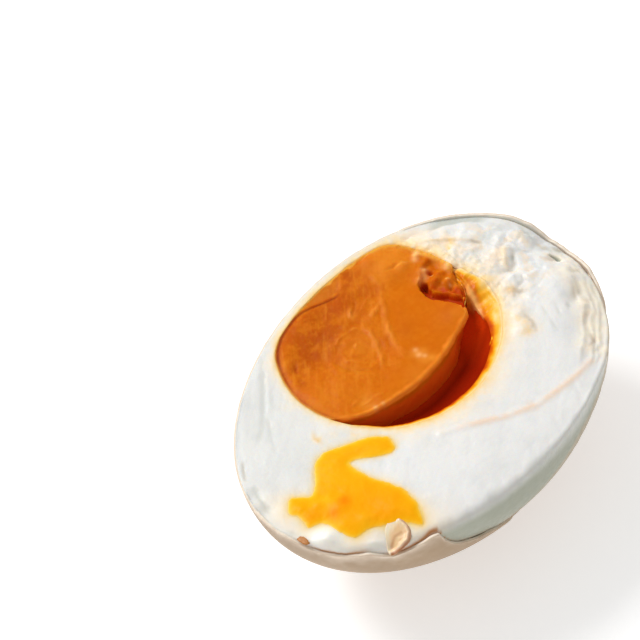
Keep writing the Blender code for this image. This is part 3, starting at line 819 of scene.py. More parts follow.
# A brownish band on the side below the rim at the blunt end: remains of skin, and painted shade where
# the side turns down
old_skin = band(degrees + 4.0 * noise(white_rings, 3.0, 45), 296, 312, 322, 336) * step(
    -1.2, -2.4, white_z) * step(0.1, 0.5, side)
remains = -white_z - by_angle(SKIN_REMAINS, degrees) + 0.7 * rough(white_rings, 2.0, 47)
remains = 0.9 * step(-0.6, 1.2, remains) * step(0.3, 0.8, side)
# Painted shade: the bare side's tint grows the further it lies below the face's edge
shade_lower_down = by_angle([(240, 2.2), (262, 2.6), (282, 4.5)], degrees)
shade_lower_down = step(0.0, 1.0, (-white_z - edge_depth) / shade_lower_down)
lined = 0.8 * band(degrees, 180, 190, 226, 234)
crease_away, crease_along = from_line(STAINED_CREASE, white_x, white_y)
crease = 0.8 * soft(crease_away, 0.55) * step(0.02, 0.2, crease_along)
dot = np.exp(-((white_x - 4.1) ** 2 + (white_y + 16.5) ** 2) / 0.7)
# Painted light: the lumps of the face under the spilt yolk are tinted brighter, as if lit
lobe = bumps([(-27.6, -6.2, 1.9, 1.0), (-28.8, -3.8, 1.5, 0.8), (-25.4, -11.4, 1.6, 0.7)],
             white_x, white_y)
tint(egg_white, (1.0, 0.0), stain=stain)
tint(egg_white, (0.0, 1.0), side=side * lerp(0.3, 1.0, shade_lower_down) * (1 - lined))
tint(egg_white, seam=seam, crease=np.maximum(crease, dot) * face_half, skin=old_layer,
     brown=brown * (side < 0.9),
     # grey: marks that are partly painted shade, the band by the rim, and the notch's and the left
     # part's painted shade
     grey=np.clip(grey_marks + wedge + notch_shade + left_shade, 0, 1.6) * on_face,
     yolk_halo=0.75 * np.exp(-from_spill / (0.40 * np.maximum(wavering, 0.4))) * on_face,
     old_skin=np.maximum(old_skin, remains), lobe=unit(lobe),
     dull=by_angle(SIDE_SHADE, degrees) * side * lerp(0.2, 1.0, shade_lower_down),
     torn=torn(white_x, white_y) * face_half)

paint = Finish("set egg white")
stain = paint.value("stain")
streaks = paint.grain(1.4, place=paint.stretched(1.0, (0.35, 1.6, 1)))
stained = stain + 0.30 * (streaks - 0.5) * stain
flecks = paint.grain(2.2, 2.0)
torn_here = paint.value("torn")
colour = paint.ramp(
    stained, (0.0, (232, 231, 228)), (0.05, (235, 231, 224)), (0.2, (243, 230, 210)),
    (0.42, (249, 222, 178)), (0.62, (250, 208, 136)), (0.82, (248, 186, 88)),
    (1.0, (238, 156, 50)))
colour = paint.coats(
    colour,
    (paint.between(paint.grain(3.0), 0.45, 0.75, 0.0, 0.35) * (1 - stained), (216, 219, 218)),
    (paint.between(flecks, 0.50, 0.62) * torn_here * 0.65, (242, 222, 196)),
    # painted reflection: grey-blue patches on the torn wet white
    (paint.between(paint.grain(2.6, 2.0), 0.44, 0.34) * torn_here * 0.32, (204, 212, 210)),
    (paint.value("crease") * paint.between(flecks, 0.30, 0.60, 0.35, 0.9), (238, 206, 176)),
    (paint.value("yolk_halo"), (252, 206, 72)),
    # painted light on those lumps
    (paint.value("lobe") * 0.8, (253, 250, 242)),
    # bare side: partly the white's own grey-green outer surface, partly painted shade
    (paint.value("side") * 0.9, (174, 177, 157)),
    # painted shade on the bare side
    (paint.value("dull"), (136, 138, 122)),
    (paint.value("skin") * paint.between(paint.grain(1.3), 0.35, 0.65, 0.35, 0.9),
     (253, 241, 218)),
    (paint.value("grey") * 0.6, (172, 178, 164)),
    (paint.value("brown") * 0.8, (186, 160, 132)),
    # remains of skin and painted shade on the side
    (paint.value("old_skin") * 0.8, (176, 156, 124)),
    # painted shadow along the shell's edge
    (paint.value("seam") * 0.95, (190, 124, 62)))
paint.glow(0.35, 1.0, (1.3, 1.0, 0.7))
paint.set(base_color=colour, ior=1.38, specular_ior_level=0.4,
          roughness=paint.between(paint.grain(0.9), 0.3, 0.7, 0.32, 0.50),
          normal=paint.bump(paint.grain(2.2), 0.06, paint.bump(paint.grain(0.55), 0.025)))
finish_piece(egg_white, paint.material)
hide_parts("egg_white")

# Runny yolk
# The outer layer of the yolk stays dark and runny. It lines the white's hollow as a thin wet film
# and has pooled in the gap at the front, where the firm core has shrunk away.
MOAT_DEPTH = 4.2
CORE_INSET = -0.06               # the core is pressed a little into the white's edge
FILM_INSET = -0.1                # and so is the film
FILM_DEPTH = 15.0                # of its inner side
# The core's broken front edge from left to right
CORE_FRONT = [
    (-12.5, 7.1), (-11.6, 5.1), (-10.5, 3.8), (-8.9, 2.5), (-6.7, 1.4), (-4.1, 0.5), (-1.5, -0.3),
    (1.4, -0.7), (5.0, -0.6), (8.1, -0.1), (10.2, 0.2), (12.5, 0.8), (13.2, 1.6), (13.7, 2.4),
    (14.6, 2.7), (15.3, 3.3), (16.1, 4.2), (16.8, 5.4), (17.3, 6.8), (18.4, 8.0),
]
# Width of the sloping shelf under the white's rim, by the angle round the yolk
SHELF = [(0, 2.4), (10, 1.2), (25, 0.5), (60, 0.3), (200, 0.3), (225, 0.8), (250, 1.1), (285, 1.3),
         (300, 1.6), (312, 2.1), (322, 2.9), (335, 3.2), (350, 3.1)]
# How steeply it slopes
SHELF_SLOPE = [(0, 0.15), (20, 0.3), (40, 0.6), (300, 0.6), (330, 0.5), (345, 0.25)]
# Depth of the runny yolk's floor, by the angle round the yolk: it is shallow at the core's top end
MOAT_FLOOR = [(0, 0.95), (20, 0.95), (40, 4.2), (300, 4.2), (318, 3.9), (326, 3.3), (332, 2.2),
              (338, 1.2), (350, 0.95)]
# Lumps of the runny yolk: x, y, radius and height. Then the ridge along the shelf
MOAT_LUMPS = [(15.6, 3.6, 1.5, 0.5), (-6.0, -0.6, 1.8, 0.5), (12.8, -1.6, 1.6, 0.3),
              (4.0, -4.0, 2.0, 0.2), (18.1, 7.5, 0.55, 0.45), (17.7, 5.4, 0.7, 0.25)]
SHELF_RIDGE = [(16.7, 4.4), (16.1, 3.3), (15.5, 2.1), (14.7, 0.9), (13.9, -0.4)]
# Thin olive crease that runs up the shelf near the rim
SHELF_CREASE = [(18.1, 2.2), (17.2, 0.6), (16.5, -1.1), (15.6, -2.7)]
# How bright the film is along its way from the rim over the shelf, at 1, down to the floor
TONE_ALONG = [(0, 1), (0.14, 0.9), (0.34, 0.74), (0.5, 0.6), (0.7, 0.42), (0.9, 0.24),
              (1.3, 0.08), (2.0, 0)]
YOLK_SPOKES = 400
SHELF_RINGS, MOAT_RINGS = 23, 43


def front_cut(angle):
    """Distance from the yolk's axis to the core's broken front edge, or far off elsewhere."""
    turns, radii = about_axis(*np.array(CORE_FRONT).T)
    turns = turns % math.tau
    turn, turns = (angle - turns[0]) % math.tau, (turns - turns[0]) % math.tau
    cut = sum(np.interp(turn + shift, turns, radii, right=2 * YOLK_RADIUS)
              for shift in np.linspace(-0.03, 0.03, 5)) / 5
    return np.where(turn > turns[-1] + 0.03, 2 * YOLK_RADIUS, cut)


def core_radius(angle, depth):
    """Radius of the firm core at a depth. Its front leans out, and is undercut at the right."""
    down = unit(depth / MOAT_DEPTH)
    right_part = step(math.radians(285), math.radians(320), angle % math.tau)
    lean = 0.5 * down * (1 - right_part) - 1.1 * right_part * step(0.15, 0.6, down)
    wall = yolk_wall(angle, np.maximum(depth, 0.0), CORE_INSET)
    return np.minimum(wall, front_cut(angle) + lean)


yolk_around = np.arange(YOLK_SPOKES) / YOLK_SPOKES * math.tau
yolk_degrees = np.degrees(yolk_around)
at_cut = 0 * yolk_around
film_out = lining(yolk_around, FILM_INSET, np.linspace(0.08, math.pi / 2 * 0.96, 14)[::-1])
film_lip = by_angle(LIP_RADIUS, yolk_degrees)
moat_floor = by_angle(MOAT_FLOOR, yolk_degrees)
foot_radius = core_radius(yolk_around, moat_floor) - 0.3
white_radius = yolk_wall(yolk_around, at_cut, 0.0)
shut = step(1.4, 0.7, white_radius - foot_radius)
rim_radius = white_radius + lerp(0.24 * film_lip + 0.04, -0.1, shut)
film_top = about_yolk(yolk_around, rim_radius, 0.0)
film_top[:, 2] = face_height(film_top[:, 0], film_top[:, 1]) - lerp(0.35 * film_lip, 0.6, shut)
moat_width = rim_radius - foot_radius
slope = by_angle(SHELF_SLOPE, yolk_degrees)
shelf = np.minimum(by_angle(SHELF, yolk_degrees), 0.65 * moat_width)
shelf_end = film_top[:, 2] - slope * shelf
moat, path = [], []
for part in np.linspace(0, 1, SHELF_RINGS + 1)[1:]:
    moat.append(about_yolk(yolk_around, rim_radius - shelf * part,
                           film_top[:, 2] - slope * shelf * part ** 1.3))
    path.append(part + at_cut)
for turn in np.linspace(0, math.pi / 2, MOAT_RINGS + 1)[1:]:
    z = lerp(shelf_end, -moat_floor, math.sin(turn))
    radius = rim_radius - shelf - (moat_width - shelf) * (1 - math.cos(turn))
    moat.append(about_yolk(yolk_around, radius, z))
    path.append(1 + (shelf_end - z) / 1.5)
moat, path = np.stack(moat), np.stack(path)
moat_x, moat_y, _ = np.moveaxis(moat, -1, 0)
drawn = noise(flat_points(yolk_around * 4.0 + 0 * moat_x, about_axis(moat_x, moat_y)[1] / 0.55),
              1.0, 53)
crease = drawn_line(SHELF_CREASE, 0.16, moat_x, moat_y)
on_shelf = step(1.3, 0.9, path)
broken_part = step(326, 338, yolk_degrees) + step(24, 12, yolk_degrees) * (yolk_degrees < 90)
clots = broken_part * step(0.5, 1.0, path) * (
    0.32 * rough(moat, 1.5, 54) + 0.15 * rough(moat, 0.6, 55))
wet = (bumps(MOAT_LUMPS, moat_x, moat_y) + 0.05 * rough(moat, 1.7, 50) * (1 + on_shelf)
       + 0.09 * drawn * on_shelf + 0.18 * drawn_line(SHELF_RIDGE, 0.36, moat_x, moat_y)
       - 0.12 * crease + clots)
moat[..., 2] += unit(moat_width / 2) * step(0.0, 0.25, path) * wet
wall_tone = np.interp(path + 0.20 * rough(moat, 1.5, 51) + 0.16 * drawn, *np.array(TONE_ALONG).T)
wall_tone = lerp(wall_tone, np.clip(0.36 + 0.5 * clots, 0.1, 0.7),
                 broken_part * step(0.5, 0.9, path))
# Painted glint: a small bright spot on the film
wall_tone = np.maximum(wall_tone, 0.8 * bumps([(11.1, -4.1, 0.35, 1.0)], moat_x, moat_y))
wall_tone = wall_tone * (1 - 0.2 * crease)
wall_tone[path < 0.04] = 1
under = np.stack([
    about_yolk(yolk_around, core_radius(yolk_around, deep + at_cut) - 0.4, -deep)
    for deep in FILM_DEPTH * np.sin(np.linspace(0.35, 1.45, 8))])
film_rings = np.concatenate([film_out, film_top[None], moat, under])[::-1]
soft_yolk = ball_of_rings("runny_yolk", film_rings, (YOLK_X, YOLK_Y, -FILM_DEPTH),
                          (YOLK_X, YOLK_Y, FILM_INSET - YOLK_DEPTH))
tone = np.zeros(film_rings.shape[:2])
tone[len(under):len(under) + len(moat)] = wall_tone[::-1]
tone[len(under) + len(moat):] = 1
film_x, film_y, _ = np.moveaxis(film_rings, -1, 0)
from_core = about_axis(film_x, film_y)[1] - core_radius(yolk_around, at_cut)
lit = np.maximum(step(6.0, 12.0, film_x) * lerp(0.3, 1.0, step(3.2, 1.6, from_core)),
                 0.45 * step(2.2, 0.5, from_core))
# Painted highlight: cream along the ridge on the shelf and on a small lump
cream = drawn_line(SHELF_RIDGE, 0.42, film_x, film_y)
cream = cream + bumps([(17.6, 7.3, 0.6, 0.9)], film_x, film_y)
tint(soft_yolk, tone=unit(tone), lit=lit, cream=unit(cream) * (tone > 0.1))

paint = Finish("runny yolk")
tone = paint.value("tone")
lit = tone + 0.25 * (paint.grain(1.3) - 0.5) * paint.between(tone, 0.05, 0.4)
deep = paint.mix(paint.value("lit"), (142, 27, 4), (226, 66, 12))
colour = paint.ramp(
    lit, (0.0, (168, 36, 5)), (0.16, (196, 66, 8)), (0.33, (224, 116, 10)), (0.5, (238, 154, 18)),
    (0.66, (247, 180, 48)), (0.82, (250, 202, 108)), (1.0, (251, 218, 160)))
colour = paint.mix(paint.between(lit, 0.0, 0.14), deep, colour)
# painted highlight
colour = paint.mix(paint.value("cream") * 0.85, colour, (255, 194, 112))
paint.glow(0.08, 0.6, (1.0, 0.5, 0.2))
paint.set(base_color=colour, roughness=0.22, ior=1.42, specular_ior_level=0.12,
          normal=paint.bump(paint.grain(1.6), 0.06))
finish_piece(soft_yolk, paint.material)
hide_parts("soft_yolk")

# Firm yolk
# The core has set firm and oily. The knife dragged over it from the left and left folds, shallow
# rings and a smooth slab, whose front edge broke off and stands above the runny part.
CORE_TOP = 0.1
CORE_DEPTH = 15.1
DRAG_ANGLE = 0.70               # way in which the knife dragged over the core, in radians
# Lumps and hollows of its face: x, y, radius and height
CORE_RELIEF = [
    (11.8, 2.4, 2.6, 0.40), (-5.5, 15.0, 3.5, -0.3), (-0.8, 20.6, 1.8, 0.15),
    (1.0, 8.0, 2.5, -0.25), (13.2, 15.5, 2.4, 0.3), (-8.0, 3.4, 1.6, -0.2), (12.4, 11.6, 1.6, -0.2),
    (14.4, 13.8, 0.7, 0.3), (-8.4, 17.6, 1.0, 0.15), (13.0, 18.6, 1.2, 0.3), (16.9, 13.3, 0.6, 0.45),
    (15.3, 10.7, 0.7, 0.40), (17.4, 11.4, 0.9, 0.3), (14.8, 8.3, 0.8, 0.75), (15.7, 6.7, 0.6, 0.65),
    (16.4, 8.6, 0.7, 0.5), (15.8, 4.9, 0.8, 0.35), (17.1, 6.7, 0.7, 0.3), (15.7, 9.9, 0.4, -0.8),
    (15.0, 5.6, 0.35, -0.5), (13.8, 10.2, 0.6, 0.35),
]
# Folds and creases that the knife dragged: the line, its width and its height
CORE_FOLDS = [
    ([(10.7, 16.5), (10.1, 15.0), (9.2, 13.8), (8.2, 12.7), (7.0, 11.4), (5.1, 9.4), (3.3, 7.0),
      (1.8, 4.2)], 0.42, 0.24),
    ([(8.2, 12.7), (6.6, 12.4), (5.3, 12.4), (3.2, 12.2)], 0.45, 0.20),
    ([(3.2, 12.2), (2.5, 10.8), (1.7, 9.2), (0.3, 7.2), (-1.3, 5.3)], 0.38, 0.22),
    ([(4.7, 16.3), (3.9, 15.4), (3.3, 14.5)], 0.26, 0.26),
    ([(6.3, 16.2), (4.6, 15.2), (2.7, 14.2)], 0.24, -0.08),
    ([(-1.6, 13.7), (-0.6, 13.9), (0.6, 13.4)], 0.26, 0.14),
    ([(-4.2, 11.4), (-4.4, 9.6), (-3.6, 7.8), (-2.2, 6.3)], 0.30, -0.16),
    ([(-2.6, 11.6), (-2.9, 10.0), (-2.0, 8.6)], 0.28, 0.12),
    ([(-0.6, 10.6), (0.0, 10.9)], 0.24, 0.26),
    ([(1.4, 13.2), (2.3, 12.8)], 0.26, 0.16),
    ([(5.6, 14.2), (6.9, 14.6), (8.0, 14.4)], 0.26, 0.12),
    ([(12.6, 15.4), (13.4, 14.7), (14.6, 14.7)], 0.28, -0.30),
    ([(13.6, 14.2), (14.9, 14.0), (15.6, 13.4)], 0.30, 0.20),
    ([(15.9, 7.3), (15.9, 6.6), (15.4, 6.0)], 0.22, 0.30),
    ([(-7.0, 17.0), (-8.2, 15.8), (-9.6, 13.8)], 0.34, -0.16),
    ([(-7.9, 3.9), (-6.4, 3.2), (-5.0, 2.6)], 0.30, 0.16),
    ([(-9.0, 4.6), (-7.6, 4.9)], 0.28, 0.12),
]
# Cleft between the slab and the clots at the core's top end
CLEFT = [(13.3, 9.3), (12.9, 8.6), (12.5, 7.7), (12.6, 6.5), (13.2, 5.1), (13.7, 3.7), (14.0, 2.5),
         (14.2, 1.4)]
CLEFT_HALF = 0.85
CLEFT_DEEP = 1.5
CORE_RINGS = 116
# Ragged part at that end, made of clots
BROKEN_PART = [(13.3, 9.9), (14.6, 10.6), (15.6, 11.4), (17.4, 11.2), (18.6, 9.4), (18.4, 7.4),
               (17.9, 5.8), (16.8, 4.0), (15.4, 2.6), (14.7, 3.0), (14.3, 4.6), (13.6, 6.0),
               (13.2, 7.8)]
# Crease along the core's back, with painted shade in it
DARK_LINE = [(6.2, 18.5), (5.0, 18.8), (3.6, 19.6), (1.8, 20.7), (0.5, 21.3), (-1.0, 21.6),
             (-2.9, 21.5), (-4.7, 21.1), (-6.5, 20.2), (-7.9, 19.1), (-9.3, 17.4), (-10.4, 15.2)]
# Left edge of the smooth slab, and the edge of the lower shelf along the core's back
SLAB_EDGE = [(2.8, 4.6), (4.2, 7.8), (5.6, 9.9), (7.6, 11.6), (9.2, 14.4), (10.8, 16.0)]
SHELF_EDGE = [(0.3, 21.5), (1.8, 20.7), (3.6, 19.6), (5.0, 18.8), (6.2, 18.7), (8.0, 19.6),
              (12.0, 20.9), (14.0, 21.5)]
# Darker parts of the cut core, drier ones and painted shade among the clots, and brighter ones, partly
# painted highlights: x, y, radius and strength
DARK_PARTS = [
    (-1.0, 18.0, 5.6, 0.7), (7.0, 17.6, 4.2, 0.55), (-7.4, 16.0, 2.4, 0.4), (17.6, 11.3, 1.0, 0.8),
    (-3.6, 15.2, 2.6, 0.3), (10.5, 3.0, 1.6, 0.3), (14.6, 6.2, 0.9, 0.7), (14.0, 8.2, 0.8, 0.8),
    (15.2, 4.2, 0.9, 0.8), (9.7, 20.6, 1.6, 0.6), (12.6, 3.6, 1.5, 0.5), (5.6, 6.4, 1.6, 0.35),
    (-9.4, 13.6, 0.8, 0.5), (14.7, 8.2, 1.2, 0.5), (16.2, 8.9, 0.8, 0.4),
]
BRIGHT_PARTS = [(13.4, 16.5, 3.2, 0.6), (14.2, 13.9, 0.8, 0.5), (-6.5, 7.5, 4.5, 0.1),
                (0.3, 10.4, 2.6, 0.35), (3.6, 14.8, 0.9, 0.5), (-7.4, 3.4, 1.2, 0.6),
                (2.9, 2.9, 0.8, 0.7), (2.8, 1.2, 0.9, 0.7), (3.6, 0.4, 0.6, 0.8), (3.9, 2.2, 0.6, 0.6),
                (11.6, 2.0, 1.2, 0.4), (0.2, 0.9, 1.6, 0.3), (-8.3, 17.6, 0.9, 0.3),
                (-9.5, 9.0, 2.6, 0.2), (16.5, 16.5, 1.2, 0.4), (16.2, 5.2, 1.2, 0.3)]
# Painted highlights and glints on the core: x, y, radius and strength
HIGHLIGHT_SPOTS = [
    (17.6, 13.8, 0.42, 1.0), (17.0, 13.4, 0.45, 1.0), (16.3, 13.0, 0.42, 0.8),
    (15.5, 10.8, 0.5, 0.55), (14.7, 10.3, 0.5, 0.45), (13.7, 10.2, 0.5, 0.35),
    (15.9, 6.9, 0.24, 0.8), (15.4, 6.1, 0.2, 0.6), (15.4, 9.5, 0.2, 0.6), (17.7, 8.3, 0.5, 0.9),
    (3.4, 3.2, 0.4, 0.5), (3.0, 2.3, 0.45, 0.6), (3.3, 1.5, 0.35, 0.5), (-7.4, 2.1, 0.35, 0.6),
    (-6.3, 1.6, 0.3, 0.5),
]
# Clots of the ragged part darkened with painted shade, and pits between them that are painted dark as
# shade
SHADED_CLOTS = [(14.7, 4.8, 0.9, 0.9), (15.3, 3.8, 0.8, 0.9), (14.2, 6.4, 0.6, 0.8),
               (13.9, 7.8, 0.5, 0.7)]
CLOT_PITS = [(15.7, 9.9, 0.45, 1.0), (15.0, 5.6, 0.35, 0.7)]


def beside(value, edge, known=0):
    """The other ordinate of an edge's points at a value of the one that is `known`."""
    return np.interp(value, [p[known] for p in edge], [p[1 - known] for p in edge])


def slab_mask(x, y):
    """1 on the smooth slab at the right and front of the core, 0 on the dragged part."""
    away, _ = from_line(SLAB_EDGE, x, y)
    signed = np.where(x > beside(y, SLAB_EDGE, 1), away, -away)
    return np.maximum(step(-0.3, 0.5, signed) * step(14.0, 11.0, y), step(4.6, 2.6, y))


def broken_away(x, y):
    """1 in the ragged part at the core's top end, 0 elsewhere."""
    return step(-0.3, 0.4, inside_depth(BROKEN_PART, x, y))


def cleft(x, y, wider=0.0):
    """1 in the cleft beside it, 0 elsewhere."""
    away, along = from_line(CLEFT, x, y)
    half = CLEFT_HALF * (0.85 + 0.3 * along) + 0.20 * rough(flat_points(x, y), 1.3, 98) + wider
    return step(half + 0.12 + wider, half - 0.35, away)


def folds(x, y):
    """Height of the core's folds, and how strong the painted highlights on them and the painted shade
    in their creases are.
    """
    points = flat_points(x, y)
    x = x + 0.28 * rough(points, 1.9, 111)
    y = y + 0.28 * rough(points, 1.9, 115)
    patchy = 1 + 0.7 * noise(points, 1.5, 96)
    total = np.zeros((3, *np.shape(x)))
    for route, width, rise in CORE_FOLDS:
        mark = drawn_line(route, width, x, y) * patchy
        total[0] += 0.65 * rise * mark
        total[1 if rise > 0 else 2] += abs(rise) / 0.24 * mark
    return total


def core_height(x, y):
    """Height of the core's cut face."""
    points = flat_points(x, y)
    line_away, line_along = from_line(DARK_LINE, x, y)
    line = 0.14 * soft(line_away, 0.30) * step(0, 0.15, line_along)
    from_whorl = np.hypot(x + 1.0, y - 10.2)
    whorl = np.sin(from_whorl * 3.6 + 1.4 * noise(points, 2.5, 61)) * soft(from_whorl, 4.5)
    dragged = (0.05 * whorl + 0.06 * streaky(x, y, DRAG_ANGLE, 1.6, 4.0, 62)
               + 0.015 * streaky(x, y, DRAG_ANGLE, 0.5, 5.0, 63)
               + 0.04 * rough(points, 1.4, 64))
    lower = step(0.0, 0.9, y - beside(x, SHELF_EDGE)) * band(x, 0.2, 1.6, 5.0, 9.0)
    broken = broken_away(x, y)
    clots = broken * (0.18 * rough(points, 1.4, 92) + 0.08 * rough(points, 0.6, 93) - 0.55)
    height = (CORE_TOP + bumps(CORE_RELIEF, x, y) + folds(x, y)[0] - line - 0.25 * lower
              + (1 - slab_mask(x, y)) * dragged + clots + 0.04 * noise(points, 3.5, 65))
    angle, radius = about_axis(x, y)
    to_wall = yolk_wall(angle, 0 * angle, CORE_INSET) - radius
    to_front = core_radius(angle, 0 * angle) - radius
    height = height - 0.2 * broken * step(0.9, 0.0, to_front) * step(0.2, 0.8, to_wall)
    height = lerp(height, face_height(x, y) - 0.03 - 0.08 * lower, soft(to_wall, 0.9))
    return height - CLEFT_DEEP * cleft(x, y)


core_side = []
for depth in np.concatenate([np.linspace(14.9, 5.0, 10), np.linspace(4.6, 0.4, 22)]):
    radius = core_radius(yolk_around, depth + at_cut)
    ring = about_yolk(yolk_around, radius, -depth)
    relief = 0.10 * rough(ring * (1, 1, 0.6), 2.4, 66) + 0.05 * rough(ring, 0.8, 67)
    clear = step(0.1, 0.8, yolk_wall(yolk_around, depth + at_cut, CORE_INSET) - radius)
    core_side.append(about_yolk(yolk_around, radius + relief * clear, -depth))
wall_radius = yolk_wall(yolk_around, at_cut, CORE_INSET)
edge_radius = core_radius(yolk_around, at_cut)
edge_x, edge_y, _ = about_yolk(yolk_around, edge_radius, 0.0).T
edge_height = core_height(edge_x, edge_y)
at_wall = step(0.8, 0.1, wall_radius - edge_radius)
edge_rounding = lerp(0.5, 0.06, at_wall)
for turn in np.linspace(0.2, math.pi / 2, 7):
    core_side.append(about_yolk(yolk_around, edge_radius - edge_rounding * (1 - math.cos(turn)),
                                edge_height - edge_rounding * (1 - math.sin(turn))))
core_face = np.stack([lerp(np.array((YOLK_X, YOLK_Y, 0.0)), core_side[-1], part)
                      for part in np.linspace(1, 0, CORE_RINGS + 2)[1:-1]])
core_face[..., 2] = core_height(core_face[..., 0], core_face[..., 1])
core_rings = np.concatenate([np.stack(core_side), core_face])[::-1]
centre_height = core_height(np.array([YOLK_X]), np.array([YOLK_Y]))[0]
yolk = ball_of_rings("firm_yolk", core_rings, (YOLK_X, YOLK_Y, centre_height),
                     (YOLK_X, YOLK_Y, -CORE_DEPTH))

core_x, core_y, core_z = np.moveaxis(core_rings, -1, 0)
_, fold_highlights, fold_shade = folds(core_x, core_y)
from_centre = about_axis(core_x, core_y)[1]
to_edge = wall_radius - from_centre
line_away, line_along = from_line(DARK_LINE, core_x, core_y)
dark_edge = 0.8 * band(yolk_degrees, 100, 115, 225, 245) * step(0.7, 0.3, to_edge)
fringe_width = by_angle([(40, 1.3), (62, 0.35), (200, 0.35), (300, 1.3)], yolk_degrees)
fringe = band((yolk_degrees + 180) % 360 - 180, -14, -4, 84, 92) * step(
    1.0, 0.0, (to_edge + 0.5 * rough(core_rings, 1.6, 94)) / fringe_width)
beyond_shelf = core_y - beside(core_x, SHELF_EDGE) + 0.2 * rough(core_rings, 1.6, 97)
back_fringe = step(0.2, 0.9, beyond_shelf) * band(core_x, 0.2, 1.4, 4.5, 9.0)
from_front = edge_radius - from_centre + 0.25 * rough(core_rings, 1.2, 95)
broken = broken_away(core_x, core_y)
# Painted highlight along the core's broken front edge and down its rounding
free_edge = step(1.0, 0.1, from_front) * (1 - at_wall) * step(-0.9, -0.3, core_z)
in_cleft = cleft(core_x, core_y, 0.4)
# Painted shade on the clots
clot_shade = bumps(SHADED_CLOTS, core_x, core_y) * broken * (1 + 0.5 * rough(core_rings, 1.0, 69))
# Dark red in the deeper cleft, the pits and among the clots: the runny yolk's own dark red with
# painted shade over it
hollows = np.maximum(in_cleft * step(-0.35, -1.0, core_z), np.clip(clot_shade, 0, 0.85))
pits = 0.8 * bumps(CLOT_PITS, core_x, core_y)
side_depth = core_z + 0.3 * rough(core_rings, 1.6, 68)
dark = bumps(DARK_PARTS, core_x, core_y) + 0.2 * broken + 0.5 * fold_shade + dark_edge
# Painted light: the core's flank and foot, which lie in shade, are tinted brighter than its face
tint(yolk, slab=slab_mask(core_x, core_y), flank=step(-0.7, -1.6, side_depth) * (1 - in_cleft))
tint(yolk, (0.0, 1.0), foot=step(-1.5, -3.2, side_depth))
tint(yolk, fringe=unit(fringe + 0.2 * back_fringe),
     dark_line=soft(line_away, 0.28) * band(line_along, 0, 0.12, 0.8, 1.0),
     free_edge=free_edge * (1 - 0.8 * broken), hollows=np.maximum(hollows, pits),
     cream=unit(bumps(HIGHLIGHT_SPOTS, core_x, core_y)), fold=unit(fold_highlights), dark=unit(dark),
     bright=unit(bumps(BRIGHT_PARTS, core_x, core_y)),
     rim=band(yolk_degrees, 52, 66, 215, 235) * step(0.3, 0.0, to_edge))

paint = Finish("firm yolk")
patches = paint.grain(3.0, 4.0, paint.stretched(DRAG_ANGLE, (0.5, 1.0, 1)))
speckle = paint.grain(0.7, 4.0)
streaks = paint.grain(0.9, place=paint.stretched(DRAG_ANGLE, (0.14, 0.8, 1)))
slab = paint.value("slab")
colour = paint.coats(
    paint.mix(paint.value("dark"), (212, 108, 6), (172, 70, 8)),
    (paint.between(paint.grain(2.8), 0.42, 0.66, 0.0, 0.4), (224, 128, 12)),
    (paint.between(patches, 0.46, 0.26, 0.0, 0.5), (190, 82, 6)),
    (paint.between(speckle, 0.5, 0.7, 0.0, 0.13), (234, 140, 44)),
    (paint.between(speckle, 0.5, 0.3, 0.0, 0.16), (180, 76, 8)),
    (paint.between(streaks, 0.50, 0.72) * (1 - slab) * 0.4, (230, 138, 36)),
    (slab * 0.5, (212, 108, 3)),
    (paint.value("bright") * 0.8, (236, 146, 44)),
    # painted highlights along the raised folds
    (paint.value("fold") * 0.32, (240, 152, 58)),
    (paint.value("rim"), (234, 160, 66)),
    # painted highlight on the front edge
    (paint.value("free_edge") * 0.9, (252, 148, 46)),
    (paint.value("fringe") * 0.9, (244, 168, 66)),
    # painted highlights
    (paint.value("cream"), (252, 190, 120)),
    # painted shade in the crease along the back
    (paint.value("dark_line") * 0.8, (140, 50, 4)),
    # dark red of runny yolk with painted shade
    (paint.value("hollows") * 0.95, (186, 54, 6)),
    # painted light on the flank and foot
    (paint.value("flank"), (236, 106, 24)),
    (paint.value("foot"), (232, 98, 20)))
paint.glow(0.45, 2.0, (1.0, 0.4, 0.1))
dragged = (streaks + 0.5 * paint.grain(0.35)) * (1 - 0.6 * slab)
paint.set(base_color=colour, ior=1.45, specular_ior_level=0.05,
          roughness=paint.between(paint.grain(1.4), 0.3, 0.7, 0.28, 0.46),
          normal=paint.bump(dragged, 0.03))
finish_piece(yolk, paint.material)
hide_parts("yolk")

# Spilt yolk
# Runny yolk that the knife carried over the white lies on it as a bright pool. It is thin and
# yellow at its edge, thicker and more orange near the end, where it is lumpy.
SPILL_THICK = 0.34
SPILL_LUMPS = [(-23.2, -4.0, 1.3, 0.22), (-24.4, -1.2, 0.9, 0.20), (-21.6, -2.2, 0.9, -0.10),
               (-26.6, 0.6, 1.0, 0.15), (-23.0, -8.0, 1.0, 0.15), (-19.0, -9.0, 1.6, 0.10),
               (-25.6, -6.0, 1.0, 0.12)]
# Where the pool is thick and orange, and where it is paler: x, y, radius and strength
SPILL_DEEP = [(-22.3, -3.9, 1.0, 1.0), (-24.6, -3.9, 0.9, 0.8), (-20.5, -8.5, 3.4, 0.35),
              (-26.6, -1.6, 1.2, 0.3)]
SPILL_PALE = [(-23.6, -1.6, 0.8, 0.7), (-23.1, -8.1, 1.1, 0.6), (-19.6, 1.4, 2.4, 0.4),
              (-14.0, -2.6, 1.6, 0.5)]
SPILL_CELL = 0.16


def points_of(piece):
    """The points of a primitive as it was added, with its own sides at -1 and 1."""
    points = np.empty(len(piece.data.vertices) * 3)
    piece.data.vertices.foreach_get("co", points)
    return points.reshape(-1, 3)


